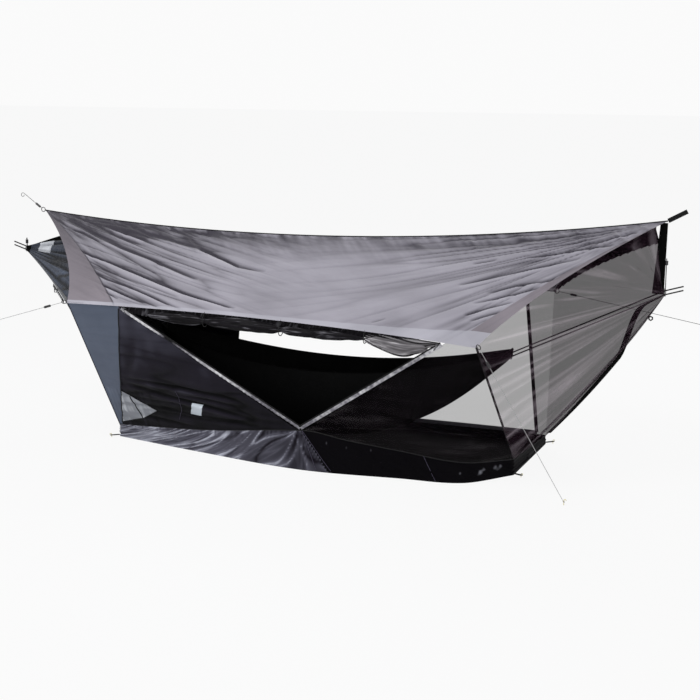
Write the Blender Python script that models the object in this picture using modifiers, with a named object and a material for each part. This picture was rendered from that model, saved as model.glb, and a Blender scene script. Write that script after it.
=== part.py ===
"""Hammock tent: a ridge tarp over a hung body with a bathtub floor and a V-zip door, and a hammock inside.

Metres, +Z up. X runs along the ridge, -Y is the front. The origin is on the ground below the ridge.
"""

import math

import bmesh
import bpy
from mathutils import Matrix, Vector

# Cloth and clearances
FABRIC = 0.0015
GAP = 0.0004
SEAM_RISE = 0.0009
WALL_TOP_DROP = SEAM_RISE * 1.3
CORNER_TRIM = 0.0016
UNDER_FLY = 0.006

# Rainfly
RIDGE_LEFT_REACH = 1.95
RIDGE_RIGHT_REACH = 2.03
RIDGE_LEFT_HEIGHT = 1.33
RIDGE_RIGHT_HEIGHT = 1.43
RIDGE_SAG = 0.125
RIDGE_TAPE_RADIUS = 0.004
FLY_LEFT_REACH = 1.25
FLY_RIGHT_REACH = 1.22
FLY_FRONT_REACH = 0.85
FLY_REAR_REACH = 0.80
FLY_FRONT_LEFT_HEIGHT = 0.905
FLY_FRONT_RIGHT_HEIGHT = 0.83
FLY_REAR_LEFT_HEIGHT = 0.92
FLY_REAR_RIGHT_HEIGHT = 0.88
HEM_HOLLOW = 0.045
HEM_RISE = 0.022
FLY_END_HOLLOW = 0.075
FOLD_DEPTH = 0.011
FOLD_REACH = 1.1
FOLD_START = 0.35
FOLD_ANGLE = math.radians(11)

# Floor tub
FLOOR_HALF_LENGTH = 1.24
FLOOR_SHIFT = 0.05
FLOOR_END_HALF_WIDTH = 0.36
FLOOR_SLANT = math.radians(2.5)
FRONT_BULGE = 0.31
REAR_BULGE = 0.05
RIM_HEIGHT = 0.235
WALL_SEAT = FABRIC + GAP
FRONT_BULGE_SHARES = ((-1, 0), (-0.5, 0.52), (0.07, 1), (0.55, 0.91), (0.83, 0.79), (1, 0))
REAR_BULGE_SHARES = ((-1, 0), (-0.5, 0.75), (0, 1), (0.5, 0.75), (1, 0))
FRONT_RIM_SHARES = ((-1, 0.34), (-0.45, 0.62), (0.1, 1), (0.3, 0.85), (0.55, 0.68), (1, 0.4))
REAR_RIM_SHARES = ((-1, 0.28), (0, 0.24), (1, 0.24))

# Doors
DOOR_LEFT_REACH = 0.93
DOOR_RIGHT_REACH = 1.05
DOOR_FOOT_X = 0.145
REAR_FOOT_LEFT_REACH = 0.80
REAR_FOOT_RIGHT_REACH = 1.235
ZIP_STOP = 0.05
ZIP_WIDTH = 0.024
ZIP_THICKNESS = 0.002
ZIP_TOP_DROP = 0.024
SLIDER_LENGTH = 0.018
SLIDER_WIDTH = 0.014
SLIDER_THICKNESS = 0.009
SLIDER_FROM_TOP = 0.05
EAR_LENGTH = 0.006
EAR_WIDTH = 0.002
EAR_HEIGHT = 0.0065
PULL_WIDTH = 0.008
PULL_LENGTH = 0.03
PULL_THICKNESS = 0.0016
PULL_BARREL_RADIUS = 0.0028
PULL_PIN_RADIUS = 0.0012
ROLL_LEFT_REACH = 0.74
ROLL_RIGHT_REACH = 0.95
ROLL_RADIUS = 0.036
ROLL_DROP = 0.012
ROLL_BELLY_DROP = 0.05
ROLL_WIDTH_SHARES = (
    (0, 0.35), (0.12, 0.95), (0.216, 0.8), (0.36, 1), (0.491, 0.8),
    (0.64, 0.8), (0.787, 0.55), (0.9, 1.1), (0.97, 0.75), (1, 0.35),
)
ROLL_DROP_SHARES = ((0, 0), (0.36, 0.12), (0.6, 0.2), (0.787, 0), (0.92, 0.45), (1, 0.1))
FRONT_TIE_SHARES = (0.216, 0.491, 0.787)
REAR_TIE_SHARES = (0.25, 0.7)
TIE_RADIUS = 0.0025

# Sleeves at both ends
SLEEVE_LEFT_REACH = 2.10
SLEEVE_RIGHT_REACH = 2.03
SLEEVE_LEFT_HEIGHT = 1.075
SLEEVE_RIGHT_HEIGHT = 1.037
HOOD_RIDGE_REACH = 1.50
NET_RIDGE_REACH = 1.975
HOOD_HOLLOW = 0.10
HOLLOW_INWARDS_SHARE = 0.75
HOLLOW_UP_SHARE = 0.65
COVER_CORNER_SHARE = 0.004
NET_HOLLOW = -0.03
DRAWCORD_RADIUS = 0.002
DRAWCORD_SPREAD = 0.003
LEFT_TAIL_LENGTH = 0.05
RIGHT_TAIL_LENGTH = 0.17
LOCK_RADIUS = 0.009
LOCK_LENGTH = 0.024

# Hammock
HAMMOCK_LEFT_REACH = 1.10
HAMMOCK_RIGHT_REACH = 1.18
HAMMOCK_END_HEIGHT = 0.65
HAMMOCK_HALF_WIDTH = 0.24
HAMMOCK_EDGE_SAG = 0.17
HAMMOCK_DEPTH_SAG = 0.605
GATHER_HALF_WIDTH = 0.026
GATHER_DEPTH = 0.04
GATHER_TIE_RADIUS = 0.003
GATHER_TIE_INSET = 0.012
PLEAT_DEPTH = 0.008
PLEATS = 5
HAMMOCK_TAPER = 0.62
ROPE_RADIUS = 0.004
ROPE_SPREAD = 0.011
SLEEVE_RADIUS = ROPE_SPREAD + ROPE_RADIUS * 1.15 + GAP * 2 + FABRIC / 2
ROPE_OUTSIDE_RISE = 0.03
ROPE_BEND_SHARE = 0.06
ROPE_BEND_REACH = 0.0154
ROPE_OUTSIDE = 0.10

# Lines and small hardware
RING_RADIUS = 0.014
RING_WIRE = 0.0025
LINE_RADIUS = 0.0015
LINE_LOOP_RISE = 0.00045
LINE_LOOP_RADIUS = 0.012
TENSIONER_LENGTH = 0.04
TENSIONER_RADIUS = 0.007
TENSIONER_AT = 0.09
RIDGE_TENSIONER_AT = 0.03
STRAP_WIDTH = 0.025
STRAP_THICKNESS = 0.0025
STRAP_LENGTH = 0.10
STRAP_RISE = 0.055
TAB_WIDTH = 0.02
TAB_LENGTH = 0.06
TAB_THICKNESS = 0.002
TAB_INNER_SHARE = 0.8
TAB_HEIGHT = 0.012
PEG_RADIUS = 0.002
PEG_DEPTH = 0.11
PEG_HEAD_RADIUS = 0.006

# Where the guylines end
LINE_PEG_SEAT = 0.015
FRONT_LEFT_LINE = Vector((-0.40, -0.095, -0.12))
FRONT_RIGHT_LINE = Vector((0.445, 0.12, LINE_PEG_SEAT - FLY_FRONT_RIGHT_HEIGHT))
REAR_RIGHT_LINE = Vector((0.86, 0.32, -0.21))
LEFT_RIDGE_LINE = Vector((-0.145, 0, 0.10))
CORNER_RING_SPLAY = 0.5
RIDGE_RING_OUTWARDS = Vector((-0.97, 0, 0.243)).normalized()

# Mesh counts
FLY_COLUMNS = 28
FLY_ROWS = 15
WALL_ROWS = 10
END_ROWS = 9
SIDE_STEPS = 24
END_STEPS = 6
EDGE_STEPS = 7
TOP_STEPS = 7
HAMMOCK_COLUMNS = 26
HAMMOCK_ROWS = 16
ROLL_COLUMNS = 30
ROLL_SIDES = 10
ROUND_SIDES = 16

UP = Vector((0, 0, 1))
FRONT = -1
REAR = 1
LEFT = -1
RIGHT = 1


def fresh_collections():
    for old in list(bpy.data.objects):
        bpy.data.objects.remove(old, do_unlink=True)
    made = []
    for name in ("hammock_tent", "cutters"):
        collection = bpy.data.collections.new(name)
        bpy.context.scene.collection.children.link(collection)
        made.append(collection)
    return made


PARTS, CUTTERS = fresh_collections()


def material(name, colour, roughness, metallic=0.0, alpha=1.0):
    made = bpy.data.materials.new(name)
    made.use_nodes = True
    shader = made.node_tree.nodes["Principled BSDF"]
    shader.inputs["Base Color"].default_value = (*colour, 1)
    shader.inputs["Roughness"].default_value = roughness
    shader.inputs["Metallic"].default_value = metallic
    shader.inputs["Alpha"].default_value = alpha
    made.diffuse_color = (*colour, alpha)
    return made


FLY_CLOTH = material("fly_cloth", (0.27, 0.25, 0.28), 0.45)
DARK_CLOTH = material("dark_cloth", (0.055, 0.055, 0.07), 0.5)
HOOD_CLOTH = material("hood_cloth", (0.09, 0.105, 0.14), 0.5)
NET_CLOTH = material("net_cloth", (0.25, 0.24, 0.25), 0.7, alpha=0.5)
TUB_CLOTH = material("tub_cloth", (0.03, 0.03, 0.04), 0.35)
HAMMOCK_CLOTH = material("hammock_cloth", (0.012, 0.012, 0.014), 0.6)
ZIP_METAL = material("zip_metal", (0.5, 0.5, 0.52), 0.35, 0.8)
ZIP_CLOTH = material("zip_cloth", (0.45, 0.45, 0.47), 0.6)
BLACK_WEB = material("black_webbing", (0.015, 0.015, 0.016), 0.7)
BLACK_PLASTIC = material("black_plastic", (0.02, 0.02, 0.022), 0.4)
GREY_LINE = material("grey_line", (0.35, 0.35, 0.35), 0.7)


def added(name, data, paint):
    """A new object of the tent with its material."""
    made = bpy.data.objects.new(name, data)
    data.materials.append(paint)
    PARTS.objects.link(made)
    return made


def mesh_of(name, bm, paint, smooth=True):
    mesh = bpy.data.meshes.new(name)
    bm.to_mesh(mesh)
    bm.free()
    if smooth:
        mesh.shade_smooth()
    return added(name, mesh, paint)


def surface(name, place, columns, rows, paint, thickness=FABRIC, closed=False):
    """A grid whose vertices place(u, v) sets. It gets Solidify unless it already closes into a solid."""
    bm = bmesh.new()
    bmesh.ops.create_grid(bm, x_segments=columns, y_segments=rows, size=1)
    for vertex in bm.verts:
        vertex.co = place((vertex.co.x + 1) / 2, (vertex.co.y + 1) / 2)
    bmesh.ops.remove_doubles(bm, verts=bm.verts, dist=GAP / 4)
    bmesh.ops.recalc_face_normals(bm, faces=bm.faces)
    made = mesh_of(name, bm, paint)
    if not closed:
        shell = made.modifiers.new("cloth", "SOLIDIFY")
        shell.thickness = thickness
        shell.offset = 0
    return made


def tube(name, points, radius, paint, resolution=2, cyclic=False):
    """A round cord, wire or rope through the points."""
    curve = bpy.data.curves.new(name, "CURVE")
    curve.dimensions = "3D"
    curve.bevel_depth = radius
    curve.bevel_resolution = resolution
    curve.use_fill_caps = not cyclic
    spline = curve.splines.new("POLY")
    spline.points.add(len(points) - 1)
    for knot, point in zip(spline.points, points):
        knot.co = (*point, 1)
    spline.use_cyclic_u = cyclic
    return added(name, curve, paint)


def frame_at(origin, x_axis, z_axis):
    """The matrix of a local frame with its X along x_axis and its Z near z_axis."""
    x = x_axis.normalized()
    y = z_axis.cross(x).normalized()
    z = x.cross(y)
    turned = Matrix((x, y, z)).transposed().to_4x4()
    return Matrix.Translation(origin) @ turned


def block(name, low, high, paint=None):
    """A box between two corners, as a part with a material or as a cutter without one."""
    bm = bmesh.new()
    bmesh.ops.create_cube(bm, size=1)
    size = high - low
    bmesh.ops.scale(bm, vec=size, verts=bm.verts)
    bmesh.ops.translate(bm, vec=(low + high) / 2, verts=bm.verts)
    return mesh_of(name, bm, paint, smooth=False) if paint else cutter(name, bm)


def rod(name, start, end, radius, paint=None, sides=ROUND_SIDES):
    """A cylinder between two points, as a part or as a cutter."""
    bm = bmesh.new()
    along = end - start
    bmesh.ops.create_cone(
        bm, cap_ends=True, segments=sides, radius1=radius, radius2=radius, depth=along.length
    )
    turn = along.to_track_quat("Z", "Y").to_matrix().to_4x4()
    bmesh.ops.transform(bm, matrix=Matrix.Translation((start + end) / 2) @ turn, verts=bm.verts)
    return mesh_of(name, bm, paint, smooth=False) if paint else cutter(name, bm)


def cutter(name, bm):
    mesh = bpy.data.meshes.new(name)
    bm.to_mesh(mesh)
    bm.free()
    made = bpy.data.objects.new(name, mesh)
    CUTTERS.objects.link(made)
    made.hide_render = True
    made.display_type = "WIRE"
    return made


def combine(target, tool, operation):
    step = target.modifiers.new(tool.name, "BOOLEAN")
    step.operation = operation
    step.object = tool


def turned_sleeve(name, bore, radius, length, paint):
    """A barrel with a bore along its local Z and chamfered rims."""
    chamfer = (radius - bore) / 3
    half = length / 2
    profile = (
        (bore, half),
        (radius - chamfer, half),
        (radius, half - chamfer),
        (radius, chamfer - half),
        (radius - chamfer, -half),
        (bore, -half),
    )
    bm = bmesh.new()
    knots = [bm.verts.new((r, 0, z)) for r, z in profile]
    for a, b in zip(knots, knots[1:] + knots[:1]):
        bm.edges.new((a, b))
    mesh = bpy.data.meshes.new(name)
    bm.to_mesh(mesh)
    bm.free()
    made = added(name, mesh, paint)
    spin = made.modifiers.new("turn", "SCREW")
    spin.axis = "Z"
    spin.steps = spin.render_steps = ROUND_SIDES
    spin.use_merge_vertices = True
    spin.merge_threshold = GAP / 8
    spin.use_normal_calculate = True
    return made


def smooth_through(pairs, at):
    """The smooth curve's value at a place, through (place, value) pairs."""
    places = [p for p, _ in pairs]
    values = [v for _, v in pairs]
    at = min(max(at, places[0]), places[-1])
    k = max(i for i in range(len(places) - 1) if places[i] <= at)
    slopes = []
    for i in range(len(places)):
        a, b = max(i - 1, 0), min(i + 1, len(places) - 1)
        slopes.append((values[b] - values[a]) / (places[b] - places[a]))
    width = places[k + 1] - places[k]
    t = (at - places[k]) / width
    return (
        (2 * t**3 - 3 * t**2 + 1) * values[k]
        + (t**3 - 2 * t**2 + t) * width * slopes[k]
        + (3 * t**2 - 2 * t**3) * values[k + 1]
        + (t**3 - t**2) * width * slopes[k + 1]
    )


def arch(t):
    """0 at both ends and 1 in the middle."""
    return 4 * t * (1 - t)


# Rainfly geometry

RIDGE_LEFT = Vector((-RIDGE_LEFT_REACH, 0, RIDGE_LEFT_HEIGHT))
RIDGE_RIGHT = Vector((RIDGE_RIGHT_REACH, 0, RIDGE_RIGHT_HEIGHT))
FLY_CORNER = {
    (LEFT, FRONT): Vector((-FLY_LEFT_REACH, -FLY_FRONT_REACH, FLY_FRONT_LEFT_HEIGHT)),
    (RIGHT, FRONT): Vector((FLY_RIGHT_REACH, -FLY_FRONT_REACH, FLY_FRONT_RIGHT_HEIGHT)),
    (LEFT, REAR): Vector((-FLY_LEFT_REACH, FLY_REAR_REACH, FLY_REAR_LEFT_HEIGHT)),
    (RIGHT, REAR): Vector((FLY_RIGHT_REACH, FLY_REAR_REACH, FLY_REAR_RIGHT_HEIGHT)),
}


def ridge_point(u):
    point = RIDGE_LEFT.lerp(RIDGE_RIGHT, u)
    point.z -= RIDGE_SAG * arch(u)
    return point


def ridge_share(x):
    return (x + RIDGE_LEFT_REACH) / (RIDGE_LEFT_REACH + RIDGE_RIGHT_REACH)


def hem_point(side, u):
    point = FLY_CORNER[LEFT, side].lerp(FLY_CORNER[RIGHT, side], u)
    point.y -= side * HEM_HOLLOW * arch(u)
    point.z += HEM_RISE * arch(u)
    return point


def hem_share(x):
    return (x + FLY_LEFT_REACH) / (FLY_LEFT_REACH + FLY_RIGHT_REACH)


def fold_height(apex, point, slope_distance):
    """The height of the folds that fan out from a ridge end."""
    along = abs(point.x - apex.x)
    angle = math.atan2(slope_distance, along)
    reach = math.hypot(slope_distance, along)
    fade = math.exp(-reach / FOLD_REACH) * min(1, reach / FOLD_START)
    return FOLD_DEPTH * fade * math.cos(2 * math.pi * angle / FOLD_ANGLE)


def fly_point(side, u, v):
    """A point of the rainfly's front or rear half: u runs left to right, v from the ridge to the hem."""
    top, foot = ridge_point(u), hem_point(side, u)
    fall = foot - top
    point = top.lerp(foot, v)
    point.x += FLY_END_HOLLOW * arch(v) * ((1 - u) ** 4 - u**4)
    out = Vector((0, -side * fall.z, abs(fall.y))).normalized()
    inside = math.sqrt(max(0, arch(v))) * min(1, arch(u) * 3)
    folds = fold_height(RIDGE_LEFT, point, fall.length * v) + fold_height(RIDGE_RIGHT, point, fall.length * v)
    return point + out * folds * inside


def build_fly():
    for side, name in ((FRONT, "rainfly_front"), (REAR, "rainfly_rear")):

        def place(u, v, side=side):
            top = ridge_point(u)
            fall = hem_point(side, u) - top
            start = (RIDGE_TAPE_RADIUS + GAP * 2) / math.hypot(fall.y, fall.z)
            return fly_point(side, u, start + (1 - start) * v)

        surface(name, place, FLY_COLUMNS, FLY_ROWS, FLY_CLOTH)
    line = [ridge_point(k / FLY_COLUMNS) for k in range(FLY_COLUMNS + 1)]
    tube("ridge_tape", line, RIDGE_TAPE_RADIUS, BLACK_WEB)


# Floor tub geometry


def floor_place(x, y, z):
    """A place of the floor, which lies a little to the right and slants to the rear along its length."""
    return Vector((x + FLOOR_SHIFT, y + x * math.tan(FLOOR_SLANT), z))


def rim_height(side, s):
    shares = FRONT_RIM_SHARES if side == FRONT else REAR_RIM_SHARES
    return RIM_HEIGHT * smooth_through(shares, s)


def side_point(side, s, height_share):
    """A point of the tub's long side: s from -1 at the left corner to 1, height_share from ground to rim."""
    shares, bulge = (
        (FRONT_BULGE_SHARES, FRONT_BULGE) if side == FRONT else (REAR_BULGE_SHARES, REAR_BULGE)
    )
    out = FLOOR_END_HALF_WIDTH + bulge * smooth_through(shares, s)
    z = WALL_SEAT + (rim_height(side, s) - WALL_SEAT) * height_share
    return floor_place(s * FLOOR_HALF_LENGTH, side * out, z)


def end_point(end, t, height_share):
    """A point of the tub's short end: t runs from 0 at the front corner to 1 at the rear."""
    front = side_point(FRONT, end, height_share)
    rear = side_point(REAR, end, height_share)
    return front.lerp(rear, t)


def tub_loop(height_share):
    """The loop of points round the tub, from the front left corner, anticlockwise from above."""
    loop = [side_point(FRONT, -1 + 2 * k / SIDE_STEPS, height_share) for k in range(SIDE_STEPS)]
    loop += [end_point(RIGHT, k / END_STEPS, height_share) for k in range(END_STEPS)]
    loop += [side_point(REAR, 1 - 2 * k / SIDE_STEPS, height_share) for k in range(SIDE_STEPS)]
    loop += [end_point(LEFT, 1 - k / END_STEPS, height_share) for k in range(END_STEPS)]
    return loop


def build_tub():
    """The flat floor, and the wall that stands on it all round."""
    foot, middle, rim = tub_loop(0), tub_loop(0.5), tub_loop(1)
    steps = len(foot)
    centre = floor_place(0, 0, FABRIC / 2)
    ground = [Vector((p.x, p.y, FABRIC / 2)) for p in foot]
    floor_rings = ([centre] * steps, [centre.lerp(p, 0.5) for p in ground], ground)
    for name, rings in (("tub_floor", floor_rings), ("tub_wall", (foot, middle, rim))):

        def place(u, v, rings=rings):
            return rings[round(v * (len(rings) - 1))][round(u * steps) % steps]

        surface(name, place, steps, len(rings) - 1, TUB_CLOTH)


# Walls beside the doors


def rim_point(side, x):
    """The place on the tub's rim, which runs straight between its stations."""
    along = (x - FLOOR_SHIFT) / FLOOR_HALF_LENGTH
    station = min(max((along + 1) / 2 * SIDE_STEPS, 0), SIDE_STEPS)
    before = min(int(station), SIDE_STEPS - 1)
    a, b = (side_point(side, -1 + 2 * k / SIDE_STEPS, 1) for k in (before, before + 1))
    return a.lerp(b, station - before)


def patch(top, foot, start, end, u, v):
    """A Coons patch between four edge functions."""
    corners = (
        top(0) * (1 - u) * (1 - v) + top(1) * u * (1 - v) + foot(0) * (1 - u) * v + foot(1) * u * v
    )
    return top(u) * (1 - v) + foot(u) * v + start(v) * (1 - u) + end(v) * u - corners


def foot_x(side, end):
    """Where a door leg comes down to the rim: the front door is a V, the rear one is wide at its foot."""
    if side == FRONT:
        return DOOR_FOOT_X
    return -REAR_FOOT_LEFT_REACH if end == LEFT else REAR_FOOT_RIGHT_REACH


class DoorLeg:
    """One leg of a door's zip: its straight line, and its directions along, towards the wall and outwards."""

    def __init__(self, side, end):
        reach = DOOR_LEFT_REACH if end == LEFT else DOOR_RIGHT_REACH
        self.side, self.end = side, end
        self.top = hem_point(side, hem_share(end * reach)) - UP * SEAM_RISE
        rim = rim_point(side, foot_x(side, end))
        fall = (self.top - rim).normalized()
        lift = ZIP_WIDTH / 2 / math.hypot(fall.x, fall.y) if side == FRONT else ZIP_WIDTH / 2 + CORNER_TRIM
        self.foot = rim + UP * (lift + GAP * 2)
        self.along = (self.foot - self.top).normalized()
        corner = end_point(end, 0 if side == FRONT else 1, 1)
        wall = corner - self.foot
        self.to_wall = (wall - self.along * wall.dot(self.along)).normalized()
        out = self.along.cross(self.to_wall)
        self.out = out if out.y * side > 0 else -out
        self.length = (self.foot - self.top).length

    def at(self, distance, across=0.0, out=0.0):
        return self.top + self.along * distance + self.to_wall * across + self.out * out


def run_stations(side):
    """The places of the tape that runs along the rim between the feet of a wide door."""
    left, right = DoorLeg(side, LEFT).foot, DoorLeg(side, RIGHT).foot
    xs = [FLOOR_SHIFT + FLOOR_HALF_LENGTH * (2 * k / SIDE_STEPS - 1) for k in range(SIDE_STEPS + 1)]
    inside = [x for x in xs if left.x + ZIP_WIDTH < x < right.x - ZIP_WIDTH]
    return [rim_point(side, x) + UP * (ZIP_WIDTH / 2 + GAP * 2) for x in inside]


def tape_mitre(leg):
    """From a leg's foot to the outer corner where its tape is mitred to the other leg or the rim's tape."""
    if leg.side == FRONT:
        other = DoorLeg(leg.side, -leg.end)
        onwards, outwards = -other.along, other.to_wall
    else:
        stations = run_stations(leg.side)
        onwards = ((stations[0] if leg.end == LEFT else stations[-1]) - leg.foot).normalized()
        outwards = (onwards * onwards.dot(UP) - UP).normalized()
    meet = (leg.along + onwards).normalized()
    spread = leg.to_wall + outwards
    mitre = (spread - meet * spread.dot(meet)).normalized()
    return mitre * (ZIP_WIDTH / 2 / mitre.dot(leg.to_wall))


def wall_foot_place(leg):
    """Where the wall's zip edge meets the tub's rim or the tape's corner, as a distance along the leg."""
    low, high = 0.0, leg.length + tape_mitre(leg).dot(leg.along) - CORNER_TRIM
    for _ in range(40):
        middle = (low + high) / 2
        point = leg.at(middle, ZIP_WIDTH / 2 + SEAM_RISE)
        near = rim_point(leg.side, point.x)
        if point.z > near.z + SEAM_RISE:
            low = middle
        else:
            high = middle
    return low


def corner_edge(end, side, t):
    """The body's edge from the rainfly's corner down to the tub's corner."""
    top = FLY_CORNER[end, side]
    foot = end_point(end, 0 if side == FRONT else 1, 1)
    return top.lerp(foot, t)


def build_wall(name, side, end, paint):
    leg = DoorLeg(side, end)
    foot_at = wall_foot_place(leg)
    reach = DOOR_LEFT_REACH if end == LEFT else DOOR_RIGHT_REACH
    hem_from = 0 if end == LEFT else 1
    hem_to = hem_share(end * reach)
    trim = Vector((-end * CORNER_TRIM, 0, 0))
    zip_top = leg.at(ZIP_TOP_DROP / 2, ZIP_WIDTH / 2 + SEAM_RISE)
    zip_foot = leg.at(foot_at, ZIP_WIDTH / 2 + SEAM_RISE * 2)
    corner_x = FLOOR_SHIFT + end * FLOOR_HALF_LENGTH
    last_x = zip_foot.x
    stations = [FLOOR_SHIFT + FLOOR_HALF_LENGTH * (2 * k / SIDE_STEPS - 1) for k in range(SIDE_STEPS + 1)]
    places = [(x - corner_x) / (last_x - corner_x) for x in stations if (x - last_x) * end > CORNER_TRIM]
    places = sorted(places) + [1]

    def top(u):
        on_hem = hem_point(side, hem_from + (hem_to - hem_from) * u) + trim - UP * WALL_TOP_DROP
        return on_hem + (zip_top - hem_point(side, hem_to) - trim + UP * WALL_TOP_DROP) * u

    def foot(u):
        on_rim = rim_point(side, corner_x + (last_x - corner_x) * u) + UP * SEAM_RISE
        return on_rim + trim * (1 - u) + (zip_foot - rim_point(side, last_x) - UP * SEAM_RISE) * u

    def start(v):
        return corner_edge(end, side, v) + trim + UP * ((SEAM_RISE + WALL_TOP_DROP) * v - WALL_TOP_DROP)

    def far(v):
        return zip_top.lerp(zip_foot, v)

    def place(u, v):
        return patch(top, foot, start, far, places[round(u * (len(places) - 1))], v)

    surface(name, place, len(places) - 1, WALL_ROWS, paint)


def build_zip_tape(name, side):
    """The door's tape: two straight legs, mitred where they meet each other or the tape along the rim."""
    left, right = DoorLeg(side, LEFT), DoorLeg(side, RIGHT)
    half = ZIP_WIDTH / 2
    foot = [(left.foot, tape_mitre(left))]
    if side == REAR:
        foot += [(centre, UP * -half) for centre in run_stations(side)]
        foot.append((right.foot, tape_mitre(right)))
    stations = (
        (left.at(ZIP_TOP_DROP), left.to_wall * half),
        (left.at(left.length - ZIP_STOP), left.to_wall * half),
        *foot,
        (right.at(right.length - ZIP_STOP), right.to_wall * half),
        (right.at(ZIP_TOP_DROP), right.to_wall * half),
    )

    def place(u, v):
        centre, across = stations[round(u * (len(stations) - 1))]
        return centre + across * (2 * v - 1)

    surface(name, place, len(stations) - 1, 1, ZIP_CLOTH, ZIP_THICKNESS)


def build_slider(prefix, side, end):
    """A slider that hugs the tape's free edge, and its pull tab on a crossbar between two ears."""
    leg = DoorLeg(side, end)
    origin = leg.at(SLIDER_FROM_TOP)
    place = frame_at(origin, leg.along, leg.out)
    wall_side = 1 if (place.to_3x3() @ Vector((0, 1, 0))).dot(leg.to_wall) > 0 else -1
    half_length, half_thick = SLIDER_LENGTH / 2, SLIDER_THICKNESS / 2
    edge = -wall_side * ZIP_WIDTH / 2
    back = edge - wall_side * (SLIDER_WIDTH / 3)
    front = back + wall_side * SLIDER_WIDTH
    low_y, high_y = min(back, front), max(back, front)
    body = block(
        f"{prefix}_slider",
        Vector((-half_length, low_y, -half_thick)),
        Vector((half_length, high_y, half_thick)),
        ZIP_METAL,
    )
    slot = ZIP_THICKNESS / 2 + GAP
    slot_from, slot_to = edge - wall_side * GAP, edge + wall_side * ZIP_WIDTH
    groove = block(
        f"{prefix}_groove",
        Vector((-SLIDER_LENGTH, min(slot_from, slot_to), -slot)),
        Vector((SLIDER_LENGTH, max(slot_from, slot_to), slot)),
    )
    middle = (low_y + high_y) / 2
    pin_height = half_thick + PULL_BARREL_RADIUS + GAP
    for k, sign in enumerate((-1, 1)):
        inner = middle + sign * (PULL_WIDTH / 2 + GAP)
        outer = inner + sign * EAR_WIDTH
        ear = block(
            f"{prefix}_ear_{k}",
            Vector((-EAR_LENGTH / 2, min(inner, outer), 0)),
            Vector((EAR_LENGTH / 2, max(inner, outer), half_thick + EAR_HEIGHT)),
        )
        combine(body, ear, "UNION")
        ear.matrix_world = place
    bar = rod(
        f"{prefix}_crossbar",
        Vector((0, middle - PULL_WIDTH / 2 - EAR_WIDTH, pin_height)),
        Vector((0, middle + PULL_WIDTH / 2 + EAR_WIDTH, pin_height)),
        PULL_PIN_RADIUS,
        sides=10,
    )
    combine(body, bar, "UNION")
    combine(body, groove, "DIFFERENCE")
    for piece in (body, groove, bar):
        piece.matrix_world = place
    build_pull(prefix, place @ Vector((0, middle, pin_height)), place.to_3x3() @ Vector((0, 1, 0)))


def build_pull(prefix, centre, axis):
    """A pull tab that hangs plumb from its crossbar."""
    hang = (axis * axis.dot(UP) - UP).normalized()
    pin = frame_at(centre, hang, hang.cross(axis))
    half = PULL_WIDTH / 2
    side = Vector((0, half, 0))
    barrel = rod(f"{prefix}_pull", -side, side, PULL_BARREL_RADIUS, ZIP_METAL, 12)
    inside = PULL_PIN_RADIUS + GAP
    tongue = block(
        f"{prefix}_tongue",
        Vector((inside + GAP, -half, -PULL_THICKNESS / 2)),
        Vector((PULL_LENGTH, half, PULL_THICKNESS / 2)),
    )
    bore = rod(f"{prefix}_bore", Vector((0, -PULL_WIDTH, 0)), Vector((0, PULL_WIDTH, 0)), inside, sides=12)
    combine(barrel, tongue, "UNION")
    combine(barrel, bore, "DIFFERENCE")
    for piece in (barrel, tongue, bore):
        piece.matrix_world = pin


# Rolled doors


def roll_centre(side, t):
    x = -ROLL_LEFT_REACH + (ROLL_LEFT_REACH + ROLL_RIGHT_REACH) * t
    point = hem_point(side, hem_share(x))
    point.z -= ROLL_DROP + ROLL_RADIUS + ROLL_BELLY_DROP * smooth_through(ROLL_DROP_SHARES, t)
    return point


def roll_radius(t):
    return ROLL_RADIUS * smooth_through(ROLL_WIDTH_SHARES, t)


def build_roll(name, side):
    def place(u, v):
        centre = roll_centre(side, v)
        if v in (0, 1):
            return centre
        angle = 2 * math.pi * (round(u * ROLL_SIDES) % ROLL_SIDES) / ROLL_SIDES
        return centre + roll_radius(v) * Vector((0, math.cos(angle), math.sin(angle)))

    surface(name, place, ROLL_SIDES, ROLL_COLUMNS, DARK_CLOTH, closed=True)


def roll_section(side, t):
    """The centre and radius at t of the roll as built, which runs straight from column to column."""
    column = math.floor(t * ROLL_COLUMNS)
    along = t * ROLL_COLUMNS - column
    start, end = column / ROLL_COLUMNS, (column + 1) / ROLL_COLUMNS
    centre = roll_centre(side, start).lerp(roll_centre(side, end), along)
    return centre, roll_radius(start) + (roll_radius(end) - roll_radius(start)) * along


def build_tie(name, side, t):
    """A loop round the roll whose top reaches the underside of the hem."""
    centre, radius = roll_section(side, t)
    around = (radius + TIE_RADIUS + GAP) / math.cos(math.pi / ROUND_SIDES)
    hem = hem_point(side, hem_share(centre.x))
    reach = hem.z - SEAM_RISE - TIE_RADIUS - GAP - centre.z
    loop = []
    for k in range(ROUND_SIDES):
        angle = 2 * math.pi * k / ROUND_SIDES
        lift = (reach - around) * max(0, math.sin(angle)) ** 4
        loop.append(centre + Vector((0, around * math.cos(angle), around * math.sin(angle) + lift)))
    tube(name, loop, TIE_RADIUS, BLACK_WEB, 1, cyclic=True)


# End hood and end net

SLEEVE = {
    LEFT: Vector((-SLEEVE_LEFT_REACH, 0, SLEEVE_LEFT_HEIGHT)),
    RIGHT: Vector((SLEEVE_RIGHT_REACH, 0, SLEEVE_RIGHT_HEIGHT)),
}


def under_fly(side, end, v):
    """A point just under the rainfly, on the line from the ridge down to its corner."""
    reach = HOOD_RIDGE_REACH if end == LEFT else NET_RIDGE_REACH
    u_ridge = ridge_share(end * reach)
    u_corner = COVER_CORNER_SHARE if end == LEFT else 1 - COVER_CORNER_SHARE
    return fly_point(side, u_ridge + (u_corner - u_ridge) * v, v) - UP * UNDER_FLY


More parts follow.
